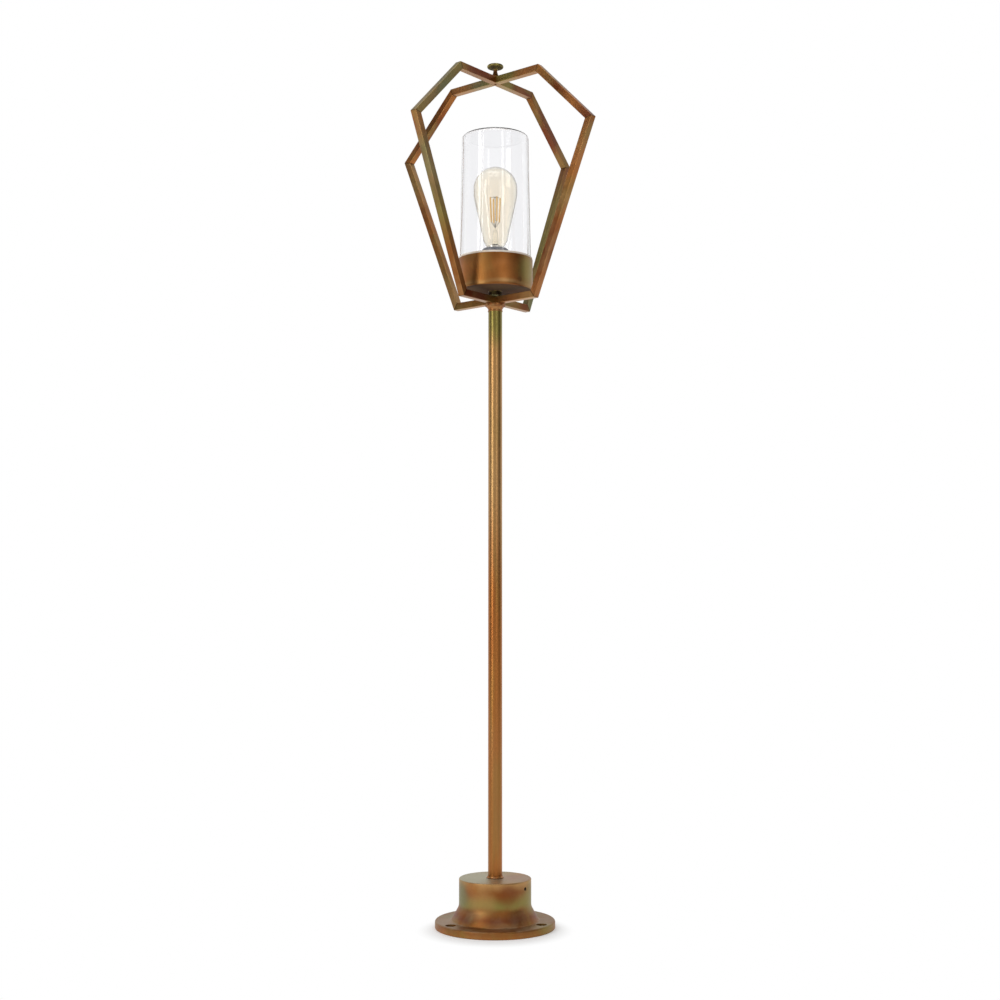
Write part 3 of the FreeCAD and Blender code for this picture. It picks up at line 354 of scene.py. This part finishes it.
    rough = calculated("MULTIPLY_ADD", bloom, 0.2,
                       mapped(fine.outputs[0], 0.3, 0.7, look["roughness"] - 0.04, look["roughness"] + 0.06))
    # the painted underside is also made rougher and less metallic by dull, so that it shows no bright floor
    rough = calculated("MULTIPLY_ADD", downward, look["dull"] * 0.5, rough)
    metallic = calculated("MULTIPLY_ADD", bloom, -0.5, look["metallic"])
    metallic = calculated("MULTIPLY_ADD", downward, -0.85 * look["dull"], metallic)
    bump = addNode(tree, "ShaderNodeBump", {}, {
        "Strength": 0.2, "Distance": 0.03 * millimetre, "Height": brush.outputs[0]})
    surface = addNode(tree, "ShaderNodeBsdfPrincipled", {}, {
        "Base Color": stain, "Metallic": metallic, "Roughness": rough,
        "Normal": bump.outputs[0]})
    tree.links.new(surface.outputs[0], output.inputs["Surface"])
    return material


upright = (Vector((0, 0, 1)), Vector((1, 0, 0)), Vector((0, 1, 0)))


# lowest and highest height of a CAD node, in mm
def heights(node):
    low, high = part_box(node)
    return low[2] / millimetre, high[2] / millimetre


baseLow, baseTop = heights("base_bell")
cupFoot, cupRim = heights("cup")
knobFoot, knobTop = heights("finial_knob")
# by default, turned pieces darken the faces that look down with painted shade
turnedBrass = {"marks": "turned", "axes": upright, "stretch": 1.0, "metallic": 0.9, "wear": 0.5, "bloom": 0.04,
               "bloomOnTop": 0.3, "under": ("grime", 0.3), "dull": 1.0}
brassLooks = {
    "turnedBrassBase": dict(
        turnedBrass, nodes=["base_bell"], seed=2.0, patch=34, wobble=12, roughness=0.45, span=(baseLow, baseTop),
        along=[(0, "orange"), (0.12, "brown"), (0.2, "brown"), (0.28, "red"), (0.42, "brown"), (0.56, "olive"),
               (0.8, "brown"), (1, "tan")],
        patches=[("tan", 0.4, 0.1, 1.3), ("olive", 0.3, 0.4, 4.1)],
        # the tan spot left of the middle is a painted highlight where the key lamp falls, and the olive spot on the
        # right is painted shade on the side turned from it
        spots=[(roundPole(-66, 51, 46), 26, "green", 0.75), (roundPole(-24, 51, 42), 30, "tan", 0.4),
               (roundPole(74, 51, 44), 30, "olive", 0.8), (roundPole(20, 51, 52), 22, "red", 0.5),
               (roundPole(-40, 51, 60), 16, "orange", 0.5),
               (roundPole(-90, 42, baseTop), 84, "bloom", 0.9, "up"),
               (roundPole(80, 40, baseTop), 48, "rose", 0.8, "up"),
               (roundPole(-80, 74, 10.3), 34, "rose", 0.7, "up"), (roundPole(60, 84, 6), 30, "olive", 0.6)]),
    "drawnBrassPole": dict(
        turnedBrass, nodes=["pole"], marks="drawn", seed=5.0, patch=14, stretch=12.0, wobble=60, roughness=0.33,
        span=heights("pole"), wear=0.0,
        along=[(0, "brown"), (0.04, "orange"), (0.12, "orange"), (0.3, "orange"), (0.5, "orange"), (0.7, "tan"),
               (0.93, "tan"), (0.975, "olive"), (1, "olive")],
        patches=[("red", 0.3, 0.2, 1.3), ("olive", 0.35, 0.3, 4.1)]),
    "turnedBrassTrim": dict(
        turnedBrass, nodes=["pole_foot_ring", "top_collar"], seed=8.0, patch=12, wobble=6, roughness=0.32,
        # downward faces of the collar get painted shade in brown, and a painted contact shadow runs round where the
        # foot ring stands on the base
        span=(baseTop, cupFoot), wear=0.7, under=("brown", 0.4),
        seamsAndContactShade=[(Vector((0, 0, baseTop * millimetre)), upright[0])],
        along=[(0, "orange"), (0.3, "orange"), (0.9, "orange"), (1, "brown")],
        patches=[("red", 0.4, 0.5, 1.3), ("tan", 0.3, 0.6, 4.1)]),
    # the spacer sits in the shade under the cup: its dark tone above the lowest part is painted shade
    "turnedBrassSpacer": dict(
        turnedBrass, nodes=["cup_spacer"], seed=9.0, patch=10, wobble=3, roughness=0.4,
        span=heights("cup_spacer"), wear=0.4,
        along=[(0, "green"), (0.2, "green"), (0.3, "grime"), (1, "grime")], patches=[("olive", 0.3, 0.4, 1.3)]),
    "turnedBrassCup": dict(
        turnedBrass, nodes=["cup"], seed=11.0, patch=46, wobble=10, roughness=0.4, span=(cupFoot, cupRim),
        along=[(0, "brown"), (0.08, "tan"), (0.2, "orange"), (0.6, "orange"), (1, "brown")],
        # the cup's downward faces get strong painted shade
        patches=[("olive", 0.4, 0.3, 1.3), ("brown", 0.4, 0.5, 4.1)], under=("grime", 0.72),
        # spots on the side the camera sees: the olive one on the right and the rose one at the left edge are painted
        # reflections, and the small dark mark is a painted reflection of a bar
        spots=[(roundPole(58, 54, cupFoot + 26), 32, "olive", 0.85),
               (roundPole(-80, 54, cupFoot + 20), 26, "rose", 0.6),
               (roundPole(41, 54, cupFoot + 10), 5, "grime", 0.35)]),
    "turnedBrassKnob": dict(
        turnedBrass, nodes=["finial_knob"], seed=14.0, patch=10, wobble=4, roughness=0.38, span=(knobFoot, knobTop),
        along=[(0, "brown"), (0.45, "brown"), (0.62, "olive"), (1, "olive")],
        # the knob's downward faces get painted shade
        patches=[("grime", 0.45, 0.6, 1.3)], under=("grime", 0.5), bloomOnTop=0.4),
}
for name, look in brassLooks.items():
    paint(agedBrass(name, look), *[nodes[node] for node in look["nodes"]])


# the points that the meshes of two CAD nodes share, as their middle
def sharedMiddle(first, second):
    def keyed(name):
        return {tuple(round(c, 5) for c in v.co): v.co.copy() for v in nodes[name].data.vertices}
    ours, theirs = keyed(first), keyed(second)
    common = [ours[k] for k in ours if k in theirs]
    return sum(common, Vector()) / len(common)


# how the stain drifts along each bar, going round a frame from the right end of its top bar by the left side
barOrder = ["top_bar", "upper_bar_left", "lower_bar_left", "bottom_bar", "lower_bar_right", "upper_bar_right"]
barTones = {
    "frame_x_": [
        "orange orange olive olive green orange orange", "orange red orange", "tan orange tan",
        "brown orange orange tan", "orange red orange orange brown", "red orange red orange"],
    "frame_y_": [
        "red red olive brown red red brown", "olive green olive", "orange green olive brown brown",
        "red red olive brown red", "green olive brown", "brown red red brown"],
}
cageLook = {
    "marks": "drawn", "patch": 26, "stretch": 2.0, "wobble": 26, "bloom": 0.06, "bloomOnTop": 0.25,
    # the bars' downward faces are painted paler, painted light as if from the white floor
    "roughness": 0.34, "metallic": 0.9, "wear": 0.8, "under": ("tan", 0.5), "dull": 0.0,
    "patches": [("red", 0.3, 0.45, 1.3), ("olive", 0.3, 0.45, 4.1), ("tan", 0.25, 0.4, 5.6)]}
for frameNumber, frameName in enumerate(barTones):
    thick = Vector((0, 1, 0)) if frameNumber == 0 else Vector((-1, 0, 0))
    bars = [frameName + bar for bar in barOrder]
    corners = [sharedMiddle(bars[i], bars[(i + 1) % 6]) for i in range(6)]
    for i, bar in enumerate(bars):
        start, end = corners[i - 1], corners[i]
        along = (end - start).normalized()
        seamsAndContactShade = []
        for point, other in ((start, corners[i - 2]), (end, corners[(i + 1) % 6])):
            # the mitre halves the angle between this bar and the next
            toOther = (other - point).normalized()
            toSelf = ((end if point is start else start) - point).normalized()
            seamsAndContactShade.append((point, (toSelf - toOther).normalized()))
        tones = barTones[frameName][i].split()
        look = dict(
            cageLook, axes=(along, thick.cross(along), thick), seamsAndContactShade=seamsAndContactShade, seed=20 + 3.1 * (6 * frameNumber + i),
            span=(start.dot(along) / millimetre, end.dot(along) / millimetre),
            along=[(step / (len(tones) - 1), tone) for step, tone in enumerate(tones)])
        paint(agedBrass("brushedBrass_" + bar, look), nodes[bar])
print("brass patinated")


# --- glass ---

# Blown glass, polished by the fire. The eye gets a clear wall that greys the white behind it a little, and a
# painted reflection: a darker line painted into the wall where it turns away, strongest at the upper right.
glassLooks = {
    "clearJarGlass": {
        "node": "glass_jar", "middle": "#fbfbfc", "side": "#f9f9fa", "rim": "#bcbcbe", "rimFrom": 0.52, "rimTo": 0.9,
        "least": 0.3, "ripple": 0.5},
    "amberBulbGlass": {
        "node": "bulb_glass", "middle": "#fcf6ea", "side": "#fbfbf6", "rim": "#6a675a", "rimFrom": 0.5, "rimTo": 0.9,
        "least": 0.12, "ripple": 0.2},
    "clearStemGlass": {
        "node": "bulb_stem", "middle": "#fdfbf4", "side": "#f8f6ec", "rim": "#8a8676", "rimFrom": 0.5, "rimTo": 0.95,
        "least": 0.5, "ripple": 0.1},
}
for name, look in glassLooks.items():
    material, tree, output, place = newMaterial(name)
    turned = addNode(tree, "ShaderNodeLayerWeight", {}, {"Blend": 0.5}).outputs["Facing"]
    normal = addNode(tree, "ShaderNodeTexCoord").outputs["Normal"]
    # painted reflection: the darker rim is strongest on faces turned to the upper right, where the studio is dark
    shade = addNode(tree, "ShaderNodeVectorMath", {"operation": "DOT_PRODUCT"}, {
        0: normal, 1: tuple((rightward * 0.75 + Vector((0, 0, 0.8))).normalized())})
    shade = addNode(tree, "ShaderNodeMapRange", {"interpolation_type": "SMOOTHSTEP"}, {
        "Value": shade.outputs["Value"], "From Min": -0.1, "From Max": 0.75, "To Min": look["least"]})
    tint = addNode(tree, "ShaderNodeMix", {"data_type": "RGBA"}, {
        0: turned, 6: colour(look["middle"]), 7: colour(look["side"])})
    edge = addNode(tree, "ShaderNodeMapRange", {"interpolation_type": "SMOOTHSTEP"}, {
        "Value": turned, "From Min": look["rimFrom"], "From Max": look["rimTo"]})
    edge = addNode(tree, "ShaderNodeMath", {"operation": "MULTIPLY"}, {0: edge.outputs[0], 1: shade.outputs[0]})
    tint = addNode(tree, "ShaderNodeMix", {"data_type": "RGBA"}, {
        0: edge.outputs[0], 6: tint.outputs[2], 7: colour(look["rim"])})
    # faint upright ripples, 14 mm across, from drawing the glass down
    stretched = addNode(tree, "ShaderNodeVectorMath", {"operation": "MULTIPLY"}, {0: place, 1: (1, 1, 0.15)})
    ripples = addNode(tree, "ShaderNodeTexNoise", {}, {
        "Vector": stretched.outputs[0], "Scale": 1 / (14 * millimetre), "Detail": 1.0})
    bump = addNode(tree, "ShaderNodeBump", {}, {
        "Strength": look["ripple"], "Distance": 0.12 * millimetre, "Height": ripples.outputs[0]})
    wall = addNode(tree, "ShaderNodeBsdfPrincipled", {}, {
        "Base Color": tint.outputs[2], "Roughness": 0.0, "IOR": 1.47, "Transmission Weight": 1.0,
        "Normal": bump.outputs[0]})
    # light and shadow pass straight through
    passing = addNode(tree, "ShaderNodeBsdfTransparent", {}, {"Color": colour(look["middle"])})
    rays = addNode(tree, "ShaderNodeLightPath")
    unseen = addNode(tree, "ShaderNodeMath", {"operation": "MAXIMUM"}, {
        0: rays.outputs["Is Shadow Ray"], 1: rays.outputs["Is Diffuse Ray"]})
    mix = addNode(tree, "ShaderNodeMixShader", {}, {0: unseen.outputs[0], 1: wall.outputs[0], 2: passing.outputs[0]})
    tree.links.new(mix.outputs[0], output.inputs["Surface"])
    paint(material, nodes[look["node"]])
print("glass blown")


# --- plain metals, ceramic, plastic and rubber ---

# tone and second: the colour and what it drifts to; patch: size of the drift in mm; grain: bump depth in mm
plainLooks = {
    # turned and pressed brass, left bare inside: bright yellow with dull fingerprints
    "bareBrass": {
        "nodes": ["pole_hub", "pole_lock_nut", "cup_nut", "terminal_sleeves", "lampholder_shell",
                  "lampholder_contact", "lampholder_terminals"],
        "tone": "#c9a35a", "second": "#9c7433", "patch": 6, "metallic": 1.0, "roughness": (0.22, 0.42), "grain": 0.01},
    # zinc-plated steel screws: grey, faintly yellow where the passivation is thick
    "platedScrews": {
        "nodes": ["hub_screws", "bracket_screws", "terminal_screws", "block_screw", "earth_screw", "holder_screws"],
        "tone": "#b4b3ac", "second": "#8f8a76", "patch": 2, "metallic": 1.0, "roughness": (0.28, 0.45), "grain": 0.006},
    # browned steel grub screw: nearly black
    "brownedScrew": {
        "nodes": ["base_set_screw"],
        "tone": "#3a2717", "second": "#201510", "patch": 1.5, "metallic": 0.8, "roughness": (0.4, 0.55), "grain": 0.01},
    # stamped zinc-plated sheet: spangled grey
    "platedSheet": {
        "nodes": ["terminal_bracket", "holder_bracket", "earth_lug", "earth_washer"],
        "tone": "#bdbfbe", "second": "#94979a", "patch": 3.5, "metallic": 1.0, "roughness": (0.3, 0.5), "grain": 0.008},
    # tin-lead drop on the bulb's centre contact
    "solderTip": {
        "nodes": ["bulb_contact"],
        "tone": "#b9b8b4", "second": "#8b8984", "patch": 2, "metallic": 0.9, "roughness": (0.35, 0.55), "grain": 0.03},
    # vitrified black glass round the contact: glossy
    "blackGlass": {
        "nodes": ["bulb_insulator"],
        "tone": "#101014", "second": "#1c1a1e", "patch": 4, "metallic": 0.0, "roughness": (0.06, 0.14), "grain": 0.01},
    # silicone rubber cast with phosphor: egg-yolk orange, matt
    "phosphorCoat": {
        "nodes": ["bulb_filaments"],
        "tone": "#ffd870", "second": "#f7c452", "patch": 3, "metallic": 0.0, "roughness": (0.4, 0.55), "grain": 0.03},
    # nickel-iron lead wires, darkened where they were sealed
    "sealedWire": {
        "nodes": ["bulb_supports"],
        "tone": "#77726a", "second": "#4f4a42", "patch": 5, "metallic": 0.9, "roughness": (0.3, 0.5), "grain": 0.005},
    # moulded silicone ring, cream and a little pink, softly shining through
    "siliconeRing": {
        "nodes": ["cup_gasket", "glass_seat_ring"],
        "tone": "#e3d8ca", "second": "#d6c3b2", "patch": 18, "metallic": 0.0, "roughness": (0.45, 0.6), "grain": 0.02,
        "glow": 0.35},
    # grey-glazed porcelain holder: glossy with faint clouds
    "greyPorcelain": {
        "nodes": ["lampholder_body"],
        "tone": "#77777c", "second": "#5f6066", "patch": 9, "metallic": 0.0, "roughness": (0.12, 0.24), "grain": 0.02},
    # moulded nylon terminal block: off-white, slightly sunken
    "whiteNylon": {
        "nodes": ["terminal_block"],
        "tone": "#e9e6da", "second": "#dcd6c4", "patch": 8, "metallic": 0.0, "roughness": (0.35, 0.5), "grain": 0.02,
        "glow": 0.25},
    # moulded black nylon bush
    "blackNylon": {
        "nodes": ["pole_end_bush"],
        "tone": "#1d1d1f", "second": "#2b2b2e", "patch": 4, "metallic": 0.0, "roughness": (0.35, 0.5), "grain": 0.02},
    # extruded rubber sheath of the lead: dusty black
    "rubberSheath": {
        "nodes": ["internal_lead"],
        "tone": "#232325", "second": "#3a3a3a", "patch": 7, "metallic": 0.0, "roughness": (0.5, 0.7), "grain": 0.02},
}


# a surface with a drifting tone, an uneven shine and a fine grain; base can replace the drifting tone
def plainSurface(name, look, base=None):
    material, tree, output, place = newMaterial(name)
    drift = addNode(tree, "ShaderNodeTexNoise", {}, {
        "Vector": place, "Scale": 1 / (look["patch"] * millimetre), "Detail": 3.0, "Distortion": 0.3})
    amount = addNode(tree, "ShaderNodeMapRange", {"interpolation_type": "SMOOTHSTEP"}, {
        "Value": drift.outputs[0], "From Min": 0.38, "From Max": 0.66})
    tone = base(tree, place) if base else colour(look["tone"])
    second = colour(look["second"])
    mix = addNode(tree, "ShaderNodeMix", {"data_type": "RGBA"}, {0: amount.outputs[0], 6: tone, 7: second})
    fine = addNode(tree, "ShaderNodeTexNoise", {}, {
        "Vector": place, "Scale": 1 / (0.5 * millimetre), "Detail": 2.0})
    shine = addNode(tree, "ShaderNodeMapRange", {}, {
        "Value": fine.outputs[0], "From Min": 0.3, "From Max": 0.7,
        "To Min": look["roughness"][0], "To Max": look["roughness"][1]})
    bump = addNode(tree, "ShaderNodeBump", {}, {
        "Strength": 0.5, "Distance": look["grain"] * millimetre, "Height": fine.outputs[0]})
    surface = addNode(tree, "ShaderNodeBsdfPrincipled", {}, {
        "Base Color": mix.outputs[2], "Metallic": look["metallic"], "Roughness": shine.outputs[0],
        "Subsurface Weight": look.get("glow", 0.0), "Subsurface Radius": (1.0, 0.8, 0.6),
        "Subsurface Scale": 2 * millimetre, "Normal": bump.outputs[0]})
    tree.links.new(surface.outputs[0], output.inputs["Surface"])
    return material


for name, look in plainLooks.items():
    paint(plainSurface(name, look), *[nodes[node] for node in look["nodes"]])

coreTones = {"brown": "#6b3d1e", "blue": "#2f5fae", "green": "#3f8a3a", "yellow": "#e0cc3a"}
coreLook = {"second": "#4a4a44", "patch": 11, "metallic": 0.0, "roughness": (0.25, 0.4), "grain": 0.01}
earthSides = {"base_cores": 1, "holder_cores": -1}      # side of the axis, along X, on which the earth core runs


# extruded cores: brown and blue to either side, and the earth core striped green and yellow lengthwise
def coreColour(earthSide):
    def base(tree, place):
        split = addNode(tree, "ShaderNodeSeparateXYZ", {}, {0: place})
        normal = addNode(tree, "ShaderNodeSeparateXYZ", {}, {0: addNode(tree, "ShaderNodeTexCoord").outputs["Normal"]})
        leftCore = addNode(tree, "ShaderNodeMath", {"operation": "GREATER_THAN"}, {0: split.outputs["Y"], 1: 0.0})
        stripe = addNode(tree, "ShaderNodeMath", {"operation": "GREATER_THAN"}, {0: normal.outputs["Y"], 1: 0.3})
        outward = addNode(tree, "ShaderNodeMath", {"operation": "MULTIPLY"}, {0: split.outputs["X"], 1: earthSide})
        isEarth = addNode(tree, "ShaderNodeMath", {"operation": "GREATER_THAN"}, {
            0: outward.outputs[0], 1: 0.35 * millimetre})
        pair = addNode(tree, "ShaderNodeMix", {"data_type": "RGBA"}, {
            0: leftCore.outputs[0], 6: colour(coreTones["brown"]), 7: colour(coreTones["blue"])})
        earth = addNode(tree, "ShaderNodeMix", {"data_type": "RGBA"}, {
            0: stripe.outputs[0], 6: colour(coreTones["green"]), 7: colour(coreTones["yellow"])})
        return addNode(tree, "ShaderNodeMix", {"data_type": "RGBA"}, {
            0: isEarth.outputs[0], 6: pair.outputs[2], 7: earth.outputs[2]}).outputs[2]
    return base


for node, earthSide in earthSides.items():
    paint(plainSurface("insulation_" + node, coreLook, coreColour(earthSide)), nodes[node])
print("small parts finished")


# --- threads ---

# a piece drawn as one row of edges through points (across, up) in mm, standing in the XZ plane
def chain(name, points):
    bpy.ops.object.select_all(action="DESELECT")
    bpy.ops.mesh.primitive_plane_add(size=millimetre)
    piece = bpy.context.object
    piece.name = name
    bpy.ops.object.mode_set(mode="EDIT")
    bpy.ops.mesh.select_all(action="SELECT")
    bpy.ops.mesh.merge(type="CENTER")
    bpy.ops.transform.translate(value=(points[0][0] * millimetre, 0, points[0][1] * millimetre))
    for before, after in zip(points, points[1:]):
        step = ((after[0] - before[0]) * millimetre, 0, (after[1] - before[1]) * millimetre)
        bpy.ops.mesh.extrude_region_move(TRANSFORM_OT_translate={"value": step})
    bpy.ops.object.mode_set(mode="OBJECT")
    return piece


# turns the row round the pole's axis, rising by pitch in each turn; pitch 0 makes a plain ring
def wound(piece, pitch, turns, steps):
    winding = piece.modifiers.new("winding", "SCREW")
    winding.angle = math.radians(360)
    winding.screw_offset = pitch * millimetre
    winding.iterations = turns
    winding.steps = steps
    winding.render_steps = steps
    winding.use_merge_vertices = True
    winding.merge_threshold = 0.001 * millimetre
    bpy.ops.object.modifier_apply(modifier="winding")
    bpy.ops.object.mode_set(mode="EDIT")
    bpy.ops.mesh.select_all(action="SELECT")
    bpy.ops.mesh.remove_doubles(threshold=0.001 * millimetre)
    bpy.ops.mesh.normals_make_consistent(inside=False)
    bpy.ops.object.mode_set(mode="OBJECT")
    return piece


# cuts the piece off level at two heights in mm, with closed ends if fill is set
def cutBetween(piece, low, high, fill):
    bpy.ops.object.mode_set(mode="EDIT")
    for level, side in ((low, "clear_inner"), (high, "clear_outer")):
        bpy.ops.mesh.select_all(action="SELECT")
        bpy.ops.mesh.bisect(plane_co=(0, 0, level * millimetre), plane_no=(0, 0, 1), use_fill=fill,
                            threshold=0.0001 * millimetre, **{side: True})
    bpy.ops.mesh.select_all(action="SELECT")
    bpy.ops.mesh.normals_make_consistent(inside=False)
    bpy.ops.object.mode_set(mode="OBJECT")


# joins pieces into the first one, shades it smooth up to 35 degrees, and lets it stand for a CAD node
def finished(pieces, node, material):
    bpy.ops.object.select_all(action="DESELECT")
    for piece in pieces:
        piece.select_set(True)
    bpy.context.view_layer.objects.active = pieces[0]
    if len(pieces) > 1:
        bpy.ops.object.join()
    bpy.ops.object.shade_smooth_by_angle(angle=math.radians(35))
    paint(material, pieces[0])
    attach(pieces[0], bodyOf[node])
    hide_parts(node)


# a threaded rod with V-shaped turns between its crest and root radii, closed or with a bore
def threadedRod(name, node, look, material):
    low, high = heights(node)
    pitch = look["pitch"]
    turns = math.ceil((high - low) / pitch) + 2
    start = low - pitch
    flat = pitch / 8
    rod = wound(chain(name, [
        (look["root"], start), (look["root"], start + flat), (look["crest"], start + pitch / 2 - flat / 2),
        (look["crest"], start + pitch / 2 + flat / 2), (look["root"], start + pitch)]), pitch, turns, look["steps"])
    cutBetween(rod, low, high, "bore" not in look)
    pieces = [rod]
    if "bore" in look:
        # the bore's wall and the two ring-shaped ends
        pieces.append(wound(chain(name + "_bore", [
            (look["root"], low), (look["bore"], low), (look["bore"], high), (look["root"], high)]),
            0, 1, look["steps"]))
    finished(pieces, node, material)


threadBrass = plainSurface("threadBrass", plainLooks["bareBrass"])
threadLooks = {
    "finial_stud": {"crest": 1.98, "root": 1.55, "pitch": 0.7, "steps": 28},
    "threaded_nipple": {"crest": 3.98, "root": 3.45, "pitch": 1.0, "steps": 36, "bore": 2.75},
}
for node, look in threadLooks.items():
    threadedRod(node + "_thread", node, look, threadBrass)

# nickel-plated brass sheet, rolled into the bulb's coarse round thread
capLook = {"pitch": 3.63, "crest": 13.05, "root": 12.15, "wall": 0.3, "shoulder": 2.4, "collar": 2.6, "roll": 8}
capFoot, capTop = heights("bulb_cap")
wave = []
for step in range(capLook["roll"] + 1):
    swing = math.cos(2 * math.pi * step / capLook["roll"])
    radius = (capLook["crest"] + capLook["root"]) / 2 - swing * (capLook["crest"] - capLook["root"]) / 2
    wave.append((radius, capFoot - capLook["pitch"] + capLook["pitch"] * step / capLook["roll"]))
capThread = wound(chain("bulb_cap_thread", wave), capLook["pitch"], 8, 56)
cutBetween(capThread, capFoot + capLook["shoulder"], capTop - capLook["collar"] + 0.4, False)
wall = capLook["wall"]
collarFoot = capTop - capLook["collar"]
capCollar = wound(chain("bulb_cap_collar", [
    (capLook["root"], collarFoot), (capLook["crest"] - 0.25, collarFoot + 0.3), (capLook["crest"], collarFoot + 0.9),
    (capLook["crest"], capTop - 0.15), (capLook["crest"] - wall / 2, capTop), (capLook["crest"] - wall, capTop - 0.15),
    (capLook["crest"] - wall, collarFoot + 0.9)]), 0, 1, 56)
capToe = wound(chain("bulb_cap_toe", [
    (capLook["root"] - 0.9, capFoot + wall), (capLook["root"] - 0.6, capFoot), (capLook["root"] - 0.2, capFoot + 0.6),
    (capLook["root"], capFoot + 1.5), (capLook["root"] + 0.1, capFoot + capLook["shoulder"] + 0.4)]), 0, 1, 56)
nickelLook = {
    "tone": "#cfcbc2", "second": "#a9a498", "patch": 5, "metallic": 1.0, "roughness": (0.2, 0.36), "grain": 0.006}
finished([capThread, capCollar, capToe], "bulb_cap", plainSurface("nickelPlatedBrass", nickelLook))
print("threads cut")
